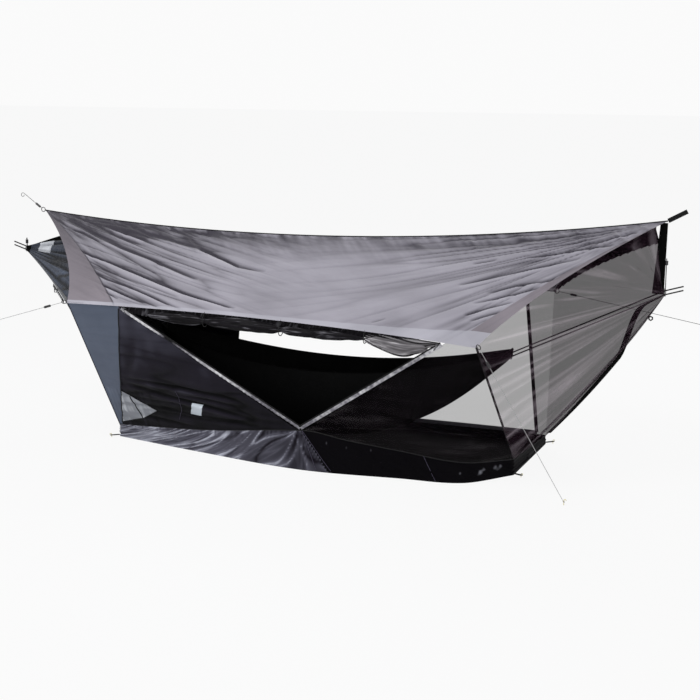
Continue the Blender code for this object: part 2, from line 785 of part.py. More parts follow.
def mouth_loop(end):
    """The loop where an end cover meets the tub, the corner edges and the rainfly."""
    loop = []
    for k in range(EDGE_STEPS):
        loop.append(corner_edge(end, FRONT, k / EDGE_STEPS))
    loop[0] = loop[0] - UP * UNDER_FLY
    for k in range(END_STEPS):
        loop.append(end_point(end, k / END_STEPS, 1))
    for k in range(EDGE_STEPS):
        loop.append(corner_edge(end, REAR, 1 - k / EDGE_STEPS))
    loop.append(corner_edge(end, REAR, 0) - UP * UNDER_FLY)
    for k in range(1, TOP_STEPS):
        loop.append(under_fly(REAR, end, 1 - k / TOP_STEPS))
    top = under_fly(FRONT, end, 0)
    top.z -= RIDGE_TAPE_RADIUS
    loop.append(top)
    for k in range(1, TOP_STEPS):
        loop.append(under_fly(FRONT, end, k / TOP_STEPS))
    return loop


def build_end(name, end, hollow, paint):
    """A cover lofted from its wide mouth to the small round sleeve that the suspension leaves through."""
    loop = mouth_loop(end)
    sleeve = SLEEVE[end]
    steps = len(loop)
    hollow_way = Vector((-end * HOLLOW_INWARDS_SHARE, 0, HOLLOW_UP_SHARE))

    def place(u, v):
        mouth = loop[round(u * steps) % steps]
        angle = math.atan2(mouth.z - sleeve.z, mouth.y - sleeve.y)
        ring = sleeve + SLEEVE_RADIUS * Vector((0, math.cos(angle), math.sin(angle)))
        start = SEAM_RISE / (ring - mouth).length
        t = start + (1 - start) * v
        point = mouth.lerp(ring, t)
        depth = max(0, sleeve.z - mouth.z) / sleeve.z
        return point + hollow_way * hollow * depth * arch(v)

    surface(name, place, steps, END_ROWS, paint)


def build_drawcord(prefix, end, tail):
    """The cord round the sleeve's mouth, its two tails, and the lock that slides on them."""
    sleeve = SLEEVE[end] + Vector((end * (DRAWCORD_RADIUS + GAP * 2), 0, 0))
    spread = DRAWCORD_SPREAD
    radius = SLEEVE_RADIUS + DRAWCORD_RADIUS
    gap_angle = math.asin(spread / radius)
    start, finish = math.pi / 2 + gap_angle, 5 * math.pi / 2 - gap_angle
    foot = sleeve.z + radius * math.cos(gap_angle)
    points = [sleeve + Vector((0, -spread, foot - sleeve.z + tail))]
    for k in range(ROUND_SIDES + 1):
        angle = start + (finish - start) * k / ROUND_SIDES
        points.append(sleeve + radius * Vector((0, math.cos(angle), math.sin(angle))))
    points.append(sleeve + Vector((0, spread, foot - sleeve.z + tail)))
    tube(f"{prefix}_drawcord", points, DRAWCORD_RADIUS, BLACK_WEB, 1)
    middle = Vector((sleeve.x, 0, foot + tail - LOCK_LENGTH))
    rise = UP * LOCK_LENGTH / 2
    lock = rod(f"{prefix}_cord_lock", middle - rise, middle + rise, LOCK_RADIUS, BLACK_PLASTIC)
    for k, sign in enumerate((-1, 1)):
        hole_at = middle + Vector((0, sign * spread, 0))
        bore = rod(
            f"{prefix}_lock_bore_{k}", hole_at - rise * 2, hole_at + rise * 2, DRAWCORD_RADIUS + GAP, sides=12
        )
        combine(lock, bore, "DIFFERENCE")


# Hammock

HAMMOCK_END = {
    LEFT: Vector((-HAMMOCK_LEFT_REACH, 0, HAMMOCK_END_HEIGHT)),
    RIGHT: Vector((HAMMOCK_RIGHT_REACH, 0, HAMMOCK_END_HEIGHT)),
}


def hammock_place(u, v):
    """The hung hammock: u across it from the front edge to the rear, v from the left end to the right."""
    angle = math.pi * (u - 0.5)
    open_share = arch(v) ** HAMMOCK_TAPER
    half_width = GATHER_HALF_WIDTH + (HAMMOCK_HALF_WIDTH - GATHER_HALF_WIDTH) * open_share
    depth = GATHER_DEPTH + (HAMMOCK_DEPTH_SAG - HAMMOCK_EDGE_SAG - GATHER_DEPTH) * arch(v)
    point = HAMMOCK_END[LEFT].lerp(HAMMOCK_END[RIGHT], v)
    point.z -= HAMMOCK_EDGE_SAG * arch(v)
    fade = arch(u) * arch(v) ** 0.3 * (1 - arch(v)) ** 2
    pleat = PLEAT_DEPTH * math.sin(2 * math.pi * PLEATS * (u - 0.5)) * fade
    point.y += (half_width + pleat) * math.sin(angle)
    point.z -= (depth + pleat) * math.cos(angle)
    return point


def build_rope(name, end):
    """A hairpin of rope: its bend lies in the gathered end, its strands leave through the sleeve."""
    sign = Vector((end, 0, 0))
    gather = HAMMOCK_END[end] - UP * (GATHER_DEPTH - FABRIC / 2 - GAP - ROPE_RADIUS)
    sleeve = SLEEVE[end]
    spread = UP * ROPE_SPREAD
    low_in = gather + sign * GAP
    high_in = low_in + spread * 2
    outer_mid = sleeve + sign * ROPE_OUTSIDE + UP * ROPE_OUTSIDE_RISE
    points = [outer_mid + spread, sleeve + spread, high_in + (sleeve - gather) * ROPE_BEND_SHARE, high_in]
    for k in range(1, 6):
        angle = math.pi * k / 6
        bend = low_in + spread - sign * ROPE_BEND_REACH * math.sin(angle) + spread * math.cos(angle)
        points.append(bend)
    points += [low_in, low_in + (sleeve - gather) * ROPE_BEND_SHARE, sleeve - spread, outer_mid - spread]
    tube(name, points, ROPE_RADIUS, BLACK_WEB, 2)


def build_gather_tie(name, end):
    """The cord that ties the gathered end together, round its outside."""
    v, inner_v = (0, 1 / HAMMOCK_COLUMNS) if end == LEFT else (1, 1 - 1 / HAMMOCK_COLUMNS)
    out = GATHER_TIE_RADIUS + FABRIC / 2 + GAP * 2
    points = []
    for k in range(HAMMOCK_ROWS + 1):
        u = k / HAMMOCK_ROWS
        start = hammock_place(u, v)
        along = (hammock_place(u, inner_v) - start).normalized()
        angle = math.pi * (u - 0.5)
        outwards = Vector((0, math.sin(angle), -math.cos(angle)))
        square = (outwards - along * outwards.dot(along)).normalized()
        points.append(start + along * GATHER_TIE_INSET + square * out)
    first, last = points[0], points[-1]
    over = UP * (out + GATHER_TIE_RADIUS)
    points += [last + over, first + over]
    tube(name, points, GATHER_TIE_RADIUS, BLACK_WEB, 1, cyclic=True)


# Lines and hardware


def build_ring(name, centre, axis, paint=BLACK_PLASTIC):
    """A round ring whose plane is square to the axis."""
    turn = axis.to_track_quat("Z", "Y")
    points = []
    for k in range(ROUND_SIDES):
        angle = 2 * math.pi * k / ROUND_SIDES
        points.append(centre + turn @ (RING_RADIUS * Vector((math.cos(angle), math.sin(angle), 0))))
    tube(name, points, RING_WIRE, paint, 1, cyclic=True)


def build_guyline(prefix, anchor, outwards, run, tensioner_at, round_peg=False):
    """A ring at the anchor, a taut line from it that ends in a loop, and the tensioner that slides on it."""
    along = run.normalized()
    across = along.cross(outwards).normalized()
    ring_centre = anchor + outwards * (RING_RADIUS + RING_WIRE + SEAM_RISE)
    build_ring(f"{prefix}_ring", ring_centre, across)
    start = ring_centre + along * (RING_RADIUS + RING_WIRE + GAP / 2)
    end = ring_centre + run
    steps = 8
    points = [start.lerp(end, k / steps) for k in range(steps + 1)]
    radius = PEG_RADIUS + LINE_RADIUS + GAP if round_peg else LINE_LOOP_RADIUS
    level = Vector((along.x, along.y, 0)).normalized()
    ahead, above = (level, UP.cross(level)) if round_peg else (along, across.cross(along))
    rise = UP if round_peg else across
    for k in range(1, 11):
        angle = 2 * math.pi * k / 12
        turned = ahead * math.sin(angle) + above * (1 - math.cos(angle))
        points.append(end + turned * radius + rise * LINE_LOOP_RISE * k)
    tube(f"{prefix}_line", points, LINE_RADIUS, GREY_LINE, 1)
    barrel = turned_sleeve(
        f"{prefix}_tensioner", LINE_RADIUS + GAP, TENSIONER_RADIUS, TENSIONER_LENGTH, BLACK_PLASTIC
    )
    turn = along.to_track_quat("Z", "Y").to_matrix().to_4x4()
    barrel.matrix_world = Matrix.Translation(start + along * tensioner_at) @ turn
    if round_peg:
        build_peg(f"{prefix}_line_peg", end + above * radius, level, end.z + LINE_RADIUS * 4)


def build_stake_tab(name, end, side):
    """A flat webbing loop at a floor corner, with the hole that a stake goes through."""
    corner = end_point(end, 0 if side == FRONT else 1, 0)
    inner_x = side_point(side, end * TAB_INNER_SHARE, 0) - corner
    inner_y = end_point(end, 0.5, 0) - corner
    away = -(inner_x.normalized() + inner_y.normalized()).normalized()
    curve = bpy.data.curves.new(name, "CURVE")
    curve.dimensions = "2D"
    curve.fill_mode = "BOTH"
    curve.extrude = TAB_THICKNESS / 2
    half = TAB_WIDTH / 2
    outline = [Vector((0, -half)), Vector((TAB_LENGTH - half, -half))]
    for k in range(1, 8):
        angle = -math.pi / 2 + math.pi * k / 8
        outline.append(Vector((TAB_LENGTH - half + half * math.cos(angle), half * math.sin(angle))))
    outline += [Vector((TAB_LENGTH - half, half)), Vector((0, half))]
    hole = []
    for k in range(ROUND_SIDES):
        angle = -2 * math.pi * k / ROUND_SIDES
        turned = Vector((math.cos(angle), math.sin(angle)))
        hole.append(Vector((TAB_LENGTH - half, 0)) + (PEG_RADIUS + GAP * 2) * turned)
    for path in (outline, hole):
        spline = curve.splines.new("POLY")
        spline.points.add(len(path) - 1)
        for knot, point in zip(spline.points, path):
            knot.co = (point.x, point.y, 0, 1)
        spline.use_cyclic_u = True
    made = added(name, curve, BLACK_WEB)
    start = corner + away * (FABRIC / 2 + GAP)
    start.z = TAB_HEIGHT
    made.matrix_world = frame_at(start, away, UP)
    return start + away * (TAB_LENGTH - half), away


def build_peg(name, centre, away, seat):
    """A wire peg driven into the ground, with its head bent away over what it holds at the seat."""
    top = seat + PEG_HEAD_RADIUS / 2
    points = [Vector((centre.x, centre.y, -PEG_DEPTH)), Vector((centre.x, centre.y, top))]
    for k in range(1, 6):
        angle = math.pi * k / 5
        bend = away * (1 - math.cos(angle)) + UP * math.sin(angle)
        points.append(points[1] + bend * PEG_HEAD_RADIUS)
    tube(name, points, PEG_RADIUS, ZIP_METAL, 1)


def build_strip(name, start, end, width, thickness, width_axis, paint):
    """A flat strap between two points."""
    along = end - start
    across = (width_axis - along * (width_axis.dot(along) / along.length_squared)).normalized()

    def place(u, v):
        return start.lerp(end, u) + across * width * (v - 0.5)

    surface(name, place, 6, 2, paint, thickness)


def build_ends_of_ridge():
    anchor = RIDGE_LEFT - RIDGE_RING_OUTWARDS * SEAM_RISE
    build_guyline("left_ridge", anchor, RIDGE_RING_OUTWARDS, LEFT_RIDGE_LINE, RIDGE_TENSIONER_AT)
    along = Vector((STRAP_LENGTH, 0, STRAP_RISE)).normalized()
    start = RIDGE_RIGHT + along * RIDGE_TAPE_RADIUS / 2
    end = start + Vector((STRAP_LENGTH, 0, STRAP_RISE))
    build_strip("right_ridge_strap", start, end, STRAP_WIDTH, STRAP_THICKNESS, UP, BLACK_WEB)


def build_all():
    build_fly()
    build_tub()
    build_wall("front_left_wall", FRONT, LEFT, DARK_CLOTH)
    build_wall("front_right_wall", FRONT, RIGHT, NET_CLOTH)
    build_wall("rear_left_wall", REAR, LEFT, DARK_CLOTH)
    build_wall("rear_right_wall", REAR, RIGHT, NET_CLOTH)
    build_zip_tape("front_zip_tape", FRONT)
    build_zip_tape("rear_zip_tape", REAR)
    for side, side_name in ((FRONT, "front"), (REAR, "rear")):
        for end, end_name in ((LEFT, "left"), (RIGHT, "right")):
            build_slider(f"{side_name}_{end_name}", side, end)
            centre, away = build_stake_tab(f"{side_name}_{end_name}_stake_loop", end, side)
            build_peg(f"{side_name}_{end_name}_peg", centre, away, TAB_HEIGHT + TAB_THICKNESS / 2)
        build_roll(f"{side_name}_door_roll", side)
        shares = FRONT_TIE_SHARES if side == FRONT else REAR_TIE_SHARES
        for k, t in enumerate(shares, 1):
            build_tie(f"{side_name}_door_tie_{k}", side, t)
    build_end("left_end_hood", LEFT, HOOD_HOLLOW, HOOD_CLOTH)
    build_end("right_end_net", RIGHT, NET_HOLLOW, NET_CLOTH)
    build_drawcord("left", LEFT, LEFT_TAIL_LENGTH)
    build_drawcord("right", RIGHT, RIGHT_TAIL_LENGTH)
    surface("hammock_body", hammock_place, HAMMOCK_ROWS, HAMMOCK_COLUMNS, HAMMOCK_CLOTH)
    build_rope("left_suspension", LEFT)
    build_rope("right_suspension", RIGHT)
    build_gather_tie("left_gather_tie", LEFT)
    build_gather_tie("right_gather_tie", RIGHT)
    for name, end, side, run, round_peg in (
        ("front_left", LEFT, FRONT, FRONT_LEFT_LINE, False),
        ("front_right", RIGHT, FRONT, FRONT_RIGHT_LINE, True),
        ("rear_right", RIGHT, REAR, REAR_RIGHT_LINE, False),
    ):
        outwards = Vector((end, side * CORNER_RING_SPLAY, 0)).normalized()
        build_guyline(name, FLY_CORNER[end, side], outwards, run, TENSIONER_AT, round_peg)
    build_ends_of_ridge()


build_all()
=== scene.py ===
"""Looks of the hammock tent: every cloth panel, tape, line and fitting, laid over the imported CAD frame.

Metres, +Z up. X runs along the ridge, -Y is the front. U and V are shares along and across a panel.
"""

import math

import bmesh
import bpy
import numpy as np
from mathutils import Matrix, Vector, noise
from mathutils.bvhtree import BVHTree

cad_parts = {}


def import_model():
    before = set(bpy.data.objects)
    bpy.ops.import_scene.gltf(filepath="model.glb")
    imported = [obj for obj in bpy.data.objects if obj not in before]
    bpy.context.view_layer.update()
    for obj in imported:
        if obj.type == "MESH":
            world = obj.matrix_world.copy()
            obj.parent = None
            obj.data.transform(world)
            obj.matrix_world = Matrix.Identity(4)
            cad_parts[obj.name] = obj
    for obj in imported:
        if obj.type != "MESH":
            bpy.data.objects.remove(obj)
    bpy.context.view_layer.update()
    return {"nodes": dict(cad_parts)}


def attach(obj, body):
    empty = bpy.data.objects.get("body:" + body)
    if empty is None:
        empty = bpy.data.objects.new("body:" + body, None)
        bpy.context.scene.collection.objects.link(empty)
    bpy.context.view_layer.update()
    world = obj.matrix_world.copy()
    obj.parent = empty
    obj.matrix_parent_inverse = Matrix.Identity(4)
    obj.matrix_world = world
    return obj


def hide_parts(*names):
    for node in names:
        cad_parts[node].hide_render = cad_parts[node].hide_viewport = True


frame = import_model()
NODES = frame["nodes"]

UP = Vector((0, 0, 1))
FRONT, REAR = -1, 1
LEFT, RIGHT = -1, 1
SIDES = ((FRONT, "front"), (REAR, "rear"))
ENDS = ((LEFT, "left"), (RIGHT, "right"))

# The camera stands where the photographer stood
EYE = Vector((3.29, -7.71, 2.25))
PAN, TILT, ROLL = math.radians(22.0), math.radians(11.4), math.radians(0.15)
LENS, SENSOR = 72.51, 36

# The studio: how white its floor and walls show, how much of the floor's own shade is mixed in, and the light
SHOWN_WHITE, FLOOR_SHADE = 0.96, 0.05
FLOOR_SIZE, FLOOR_BELOW, FLOOR_GREY = 60, 0.001, 0.93
SKY, SKY_LIGHT = (0.95, 0.97, 1, 1), 0.5
# Each lamp: its name, place, aim, size and power
LAMPS = (
    ("key_lamp", (-1.5, -3.5, 5.5), (0, -0.4, 0.8), 2.2, 190),
    ("front_lamp", (3.5, -6.0, 2.2), (0, 0, 0.6), 2.5, 60),
    ("rear_lamp", (1.0, 5.0, 4.0), (0, 0, 0.8), 3, 110),
)

# Rainfly, as in the CAD
RIDGE_LEFT = Vector((-1.95, 0, 1.33))
RIDGE_RIGHT = Vector((2.03, 0, 1.43))
RIDGE_SAG = 0.125
FLY_CORNER = {
    (LEFT, FRONT): Vector((-1.25, -0.85, 0.905)),
    (RIGHT, FRONT): Vector((1.22, -0.85, 0.83)),
    (LEFT, REAR): Vector((-1.25, 0.80, 0.92)),
    (RIGHT, REAR): Vector((1.22, 0.80, 0.88)),
}
HEM_HOLLOW, HEM_RISE, FLY_END_HOLLOW = 0.045, 0.022, 0.075
LEFT_WING, RIGHT_WING = 0.304, 0.13

# Tub, as in the CAD. For each side: its bulge, the bulge's shares and the rim's shares along it
FLOOR_HALF_LENGTH, FLOOR_SHIFT, FLOOR_END_HALF_WIDTH = 1.24, 0.05, 0.36
FLOOR_SLANT = math.tan(math.radians(2.5))
RIM_HEIGHT = 0.235
TUB_SIDES = {
    FRONT: (
        0.31,
        ((-1, 0), (-0.5, 0.52), (0.07, 1), (0.55, 0.91), (0.83, 0.79), (1, 0)),
        ((-1, 0.34), (-0.45, 0.62), (0.1, 1), (0.3, 0.85), (0.55, 0.68), (1, 0.4)),
    ),
    REAR: (0.05, ((-1, 0), (-0.5, 0.75), (0, 1), (0.5, 0.75), (1, 0)), ((-1, 0.28), (0, 0.24), (1, 0.24))),
}

# Doors, as in the CAD
DOOR_REACH = {LEFT: 0.93, RIGHT: 1.05}
DOOR_FOOT = {(LEFT, FRONT): 0.145, (RIGHT, FRONT): 0.145, (LEFT, REAR): -0.80, (RIGHT, REAR): 1.235}
ZIP_WIDTH = 0.024
ROLL_REACH = {LEFT: 0.74, RIGHT: 0.95}
ROLL_RADIUS, ROLL_DROP, ROLL_BELLY_DROP = 0.036, 0.012, 0.05
ROLL_WIDTH_SHARES = (
    (0, 0.35), (0.12, 0.95), (0.216, 0.8), (0.36, 1), (0.491, 0.8),
    (0.64, 0.8), (0.787, 0.55), (0.9, 1.1), (0.97, 0.75), (1, 0.35),
)
ROLL_DROP_SHARES = ((0, 0), (0.36, 0.12), (0.6, 0.2), (0.787, 0), (0.92, 0.45), (1, 0.1))
TIE_SHARES = {FRONT: (0.216, 0.491, 0.787), REAR: (0.25, 0.7)}

# Ends and hammock, as in the CAD
SLEEVE = {LEFT: Vector((-2.10, 0, 1.075)), RIGHT: Vector((2.03, 0, 1.037))}
SLEEVE_RADIUS = 0.0172
COVER_RIDGE_REACH = {LEFT: 1.50, RIGHT: 1.975}
COVER_HOLLOW = {LEFT: 0.10, RIGHT: -0.03}
HAMMOCK_END = {LEFT: Vector((-1.10, 0, 0.65)), RIGHT: Vector((1.18, 0, 0.65))}
HAMMOCK_HALF_WIDTH, HAMMOCK_EDGE_SAG, HAMMOCK_DEPTH_SAG = 0.24, 0.17, 0.605
GATHER_HALF_WIDTH, GATHER_DEPTH = 0.026, 0.04

# Lines, as in the CAD
RING_RADIUS, RING_WIRE = 0.014, 0.0025
LINE_RADIUS, LINE_LOOP_RADIUS = 0.0015, 0.012
ROPE_RADIUS, ROPE_SPREAD, ROPE_OUTSIDE = 0.004, 0.011, 0.10
PEG_RADIUS, GAP, HALF_CLOTH = 0.002, 0.0004, 0.0009


# Shader nodes


def fill(tree, made, sockets):
    """Gives each socket of a node its value, or the output that feeds it."""
    for key, value in sockets.items():
        if isinstance(value, bpy.types.NodeSocket):
            tree.links.new(value, made.inputs[key])
        else:
            made.inputs[key].default_value = value


def add(tree, kind, sockets=None, **settings):
    made = tree.nodes.new("ShaderNode" + kind)
    for key, value in settings.items():
        setattr(made, key, value)
    fill(tree, made, sockets or {})
    return made


def paint_with(name, colour, roughness, metallic=0.0, alpha=1.0, sheen=0.0, gloss=0.5):
    """A material with its tree and its shader."""
    made = bpy.data.materials.new(name)
    made.use_nodes = True
    made.diffuse_color = (*colour, alpha)
    tree = made.node_tree
    shader = tree.nodes["Principled BSDF"]
    fill(tree, shader, {"Base Color": (*colour, 1), "Roughness": roughness, "Metallic": metallic})
    fill(tree, shader, {"Alpha": alpha, "Sheen Weight": sheen, "Specular IOR Level": gloss})
    return made, tree, shader


def seen_white(tree, shade, lit):
    """White for what the camera, a gloss or a clear surface sees, and the lit shader for the rest."""
    rays = add(tree, "LightPath").outputs
    either = add(tree, "Math", {0: rays["Is Camera Ray"], 1: rays["Is Glossy Ray"]}, operation="MAXIMUM")
    most = add(tree, "Math", {0: either.outputs[0], 1: rays["Is Transmission Ray"]}, operation="MAXIMUM")
    white = add(tree, shade, {"Strength": SHOWN_WHITE, "Color": (1, 1, 1, 1)})
    return add(tree, "MixShader", {0: most.outputs[0], 1: lit, 2: white.outputs[0]}).outputs[0]


def coordinate(tree, kind):
    return add(tree, "TexCoord").outputs[kind]


def noise_node(tree, where, scale, detail=3.0, stretch=(1, 1, 1), warp=0.0):
    place = add(tree, "Mapping", {"Scale": stretch, "Vector": where}).outputs[0]
    sockets = {"Scale": scale, "Detail": detail, "Distortion": warp, "Vector": place}
    return add(tree, "TexNoise", sockets).outputs["Fac"]


def two_tones(tree, fac, dark, light):
    ramp = add(tree, "ValToRGB", {0: fac})
    for stop, place, tone in zip(ramp.color_ramp.elements, (0.35, 0.65), (dark, light)):
        stop.position = place
        stop.color = (*tone, 1)
    return ramp.outputs[0]


def weave_node(tree, where, thread):
    """Crossing threads of that width, as a height."""
    sockets = {"Scale": 1 / (thread * 20), "Distortion": 0.4, "Vector": where}
    waves = [add(tree, "TexWave", sockets, bands_direction=way).outputs["Fac"] for way in "XY"]
    return add(tree, "Math", dict(enumerate(waves)), operation="MULTIPLY").outputs[0]


def bumps(tree, shader, *layers):
    """Bump layers of (height, distance in metres, strength), one over the other."""
    below = {}
    for height, distance, strength in layers:
        bump = add(tree, "Bump", {"Height": height, "Distance": distance, "Strength": strength, **below})
        below = {"Normal": bump.outputs[0]}
    fill(tree, shader, below)


def fold_light_tones(tree, tones, mottle):
    """A sheet's colour with painted fold light: painted shade in the valleys, its own colour between, painted
    highlights on the crests, a little mottled.
    """
    ramp = add(tree, "ValToRGB", {0: add(tree, "Attribute", attribute_name="painted_fold_light").outputs["Fac"]})
    ramp.color_ramp.elements.new(0.5)
    for stop, tone in zip(ramp.color_ramp.elements, tones):
        stop.color = (*tone, 1)
    faint = two_tones(tree, mottle, grey(0.86), grey(1.06))
    sockets = {"Factor": 1, 6: ramp.outputs[0], 7: faint}
    return add(tree, "Mix", sockets, data_type="RGBA", blend_type="MULTIPLY").outputs[2]


# Materials


def grey(level):
    return (level, level, level)


def cloth(name, tones, roughness, thread=0.0008, crumple=0.5, sheen=0.1, gloss=0.2, crease_scale=14):
    """Woven cloth: painted shade in its fold valleys and painted highlights on its crests, long creases, fine
    crumples and crossing threads.
    """
    made, tree, shader = paint_with(name, tones[1], roughness, sheen=sheen, gloss=gloss)
    where = coordinate(tree, "UV")
    mottle = noise_node(tree, where, 2.2, 4, warp=0.3)
    fill(tree, shader, {"Base Color": fold_light_tones(tree, tones, mottle)})
    creases = noise_node(tree, where, crease_scale, 5, (0.35, 1, 1), 0.6)
    fine = noise_node(tree, where, crease_scale * 5, 3, (0.6, 1, 1), 0.2)
    threads = weave_node(tree, where, thread)
    bumps(tree, shader, (creases, 0.012, crumple), (fine, 0.002, crumple * 0.6), (threads, thread / 2, 0.25))
    return made


def netting(name, tones, alpha, hole=0.0012):
    """Insect netting: one even see-through layer with painted shade in its folds and painted highlights on
    their crests, and its hexagonal holes as a fine bump.
    """
    made, tree, shader = paint_with(name, tones[1], 0.85, alpha=alpha, gloss=0.1)
    where = coordinate(tree, "UV")
    holes = add(tree, "TexVoronoi", {"Scale": 1 / hole, "Randomness": 0.15, "Vector": where})
    mottle = noise_node(tree, where, 5, 3, (0.5, 1, 1))
    fill(tree, shader, {"Base Color": fold_light_tones(tree, tones, mottle)})
    bumps(tree, shader, (mottle, 0.01, 0.3), (holes.outputs["Distance"], hole / 3, 0.4))
    return made


def webbing(name, dark, light, rib=0.0016):
    """Ribbed webbing."""
    made, tree, shader = paint_with(name, light, 0.75, sheen=0.05, gloss=0.15)
    where = coordinate(tree, "UV")
    fill(tree, shader, {"Base Color": two_tones(tree, noise_node(tree, where, 90, 3), dark, light)})
    bumps(tree, shader, (weave_node(tree, where, rib), rib / 3, 0.6))
    return made


def flecked(name, dark, light, roughness, flecks, bump, metallic=0.0, sheen=0.0, gloss=0.5):
    """Braided cord, moulded plastic or cast metal: two tones in flecks that also stand up a little."""
    made, tree, shader = paint_with(name, light, roughness, metallic, sheen=sheen, gloss=gloss)
    tone = noise_node(tree, coordinate(tree, "Object"), *flecks)
    fill(tree, shader, {"Base Color": two_tones(tree, tone, dark, light)})
    bumps(tree, shader, (tone, *bump))
    return made


BRAID = {"roughness": 0.7, "flecks": (420, 2), "bump": (0.0004, 0.6), "sheen": 0.05, "gloss": 0.15}
MOULD = {"flecks": (160, 4), "bump": (0.0003, 0.25)}

# Each set of tones runs from a fold's valley to its crest: the middle is the cloth's own colour, the first is
# painted shade and the last a painted highlight.
FLY_TONES = ((0.03, 0.026, 0.038), (0.32, 0.305, 0.35), (0.45, 0.435, 0.48))
FLY_MAIN = cloth("fly_main", FLY_TONES, 0.45, crumple=0.3)
WING_TONES = ((0.03, 0.027, 0.037), (0.215, 0.19, 0.215), (0.26, 0.24, 0.26))
FLY_WING = cloth("fly_wing", WING_TONES, 0.55, crumple=0.12)
FLY_HEM = cloth("fly_hem", ((0.2, 0.2, 0.24), (0.40, 0.39, 0.44), (0.5, 0.49, 0.54)), 0.5, crumple=0.12)
NIGHT = (0.001, 0.001, 0.0015)
DARK_TONES = (NIGHT, (0.014, 0.012, 0.019), (0.07, 0.07, 0.095))
DARK_PANEL = cloth("dark_panel", DARK_TONES, 0.55, sheen=0.02, gloss=0.05)
BLUE_TONES = ((0.012, 0.014, 0.022), (0.06, 0.074, 0.112), (0.11, 0.135, 0.19))
BLUE_PANEL = cloth("blue_panel", BLUE_TONES, 0.5, crumple=0.2)
HOOD = cloth("hood", ((0.003, 0.004, 0.007), (0.030, 0.038, 0.060), (0.09, 0.115, 0.17)), 0.5, gloss=0.1)
# The tub's nylon as a lit copy and a shaded copy, painted light and painted shade, with painted highlights on
# their crests.
TUB_TONES = ((0.004, 0.0025, 0.006), (0.10, 0.098, 0.126), (0.5, 0.51, 0.59))
TUB = cloth("tub", TUB_TONES, 0.5, crumple=0.4, sheen=0.02, gloss=0.07)
TUB_SHADED = cloth("tub_shaded", (NIGHT, (0.0025, 0.002, 0.003), (0.22, 0.22, 0.25)), 0.6, 0.0008, 0.3, 0, 0.03)
TUB_FLOOR = cloth("tub_floor", (grey(0.002), grey(0.003), grey(0.005)), 0.8, sheen=0, gloss=0.02)
HAMMOCK = cloth("hammock", (grey(0.008), grey(0.011), grey(0.015)), 0.8, sheen=0, gloss=0.02)
BLACK_TONES = (grey(0.001), grey(0.003), (0.006, 0.006, 0.007))
# Black cloth for edgings, and for the painted shade along the rear slope of the net end.
BLACK_CLOTH = cloth("black_edging_and_shade", BLACK_TONES, 0.8, sheen=0, gloss=0.02)
ROLL_TONES = (grey(0.001), (0.006, 0.005, 0.007), (0.24, 0.235, 0.26))
DOOR_ROLL = cloth("door_roll", ROLL_TONES, 0.55, 0.0008, 0.5, 0.02, 0.08, 30)
SWAG_TONES = ((0.006, 0.005, 0.006), (0.17, 0.16, 0.17), (0.7, 0.68, 0.7))
SWAG = cloth("door_swag", SWAG_TONES, 0.6, crumple=0.4, crease_scale=30)
TAPE_TONES = ((0.01, 0.009, 0.012), (0.22, 0.21, 0.24), (0.85, 0.84, 0.86))
TAPE = cloth("zip_tape", TAPE_TONES, 0.7, 0.0016, 0.3, 0.05, 0.1)
LABEL = cloth("blank_label", ((0.5, 0.55, 0.6), (0.66, 0.72, 0.78), (0.7, 0.75, 0.8)), 0.6, crumple=0.1)
NET = netting("net", (grey(0.001), (0.005, 0.003, 0.005), (0.09, 0.08, 0.085)), 0.49)
END_NET = netting("end_net", ((0.004, 0.001, 0.003), (0.020, 0.009, 0.016), (0.24, 0.20, 0.225)), 0.64)
# The window net is almost opaque and pale: painted light, standing for the bright backdrop seen through the
# mesh.
WINDOW_NET = netting("window_net", ((0.3, 0.31, 0.34), (0.7, 0.72, 0.76), (0.88, 0.9, 0.92)), 0.92)
SEAM = webbing("tub_seam", (0.03, 0.026, 0.045), (0.09, 0.08, 0.12), 0.002)
COIL = webbing("zip_coil", grey(0.004), grey(0.014), 0.002)
BLACK_WEB = webbing("black_webbing", grey(0.002), (0.006, 0.006, 0.007))
PALE_WEB = webbing("pale_webbing", (0.2, 0.2, 0.21), (0.5, 0.5, 0.52))
BLACK_CORD = flecked("black_cord", grey(0.006), grey(0.02), **BRAID)
PALE_CORD = flecked("pale_cord", grey(0.24), grey(0.5), **BRAID)
BLACK_PLASTIC = flecked("black_plastic", (0.008, 0.008, 0.009), (0.02, 0.02, 0.022), 0.4, **MOULD)
ZIP_METAL = flecked("zip_metal", (0.10, 0.10, 0.11), (0.25, 0.25, 0.26), 0.35, metallic=0.8, **MOULD)
PEG_METAL = flecked("peg_metal", (0.55, 0.48, 0.22), (0.75, 0.68, 0.36), 0.35, metallic=0.7, **MOULD)

# The last words of CAD nodes that stay, and their finish
FINISHES = (
    (ZIP_METAL, ("slider", "pull")),
    (BLACK_PLASTIC, ("lock", "tensioner", "ring")),
    (PEG_METAL, ("peg",)),
    (BLACK_CORD, ("tie", "drawcord")),
    (BLACK_WEB, ("loop", "strap", "tape")),
)


def finish_nodes():
    for name, made in NODES.items():
        word = name.rstrip("_0123456789").rsplit("_", 1)[-1]
        for paint, words in FINISHES:
            if word in words:
                made.data.materials.clear()
                made.data.materials.append(paint)


# Camera, stage and lamps


def linked(name, data):
    made = bpy.data.objects.new(name, data)
    bpy.context.scene.collection.objects.link(made)
    return made


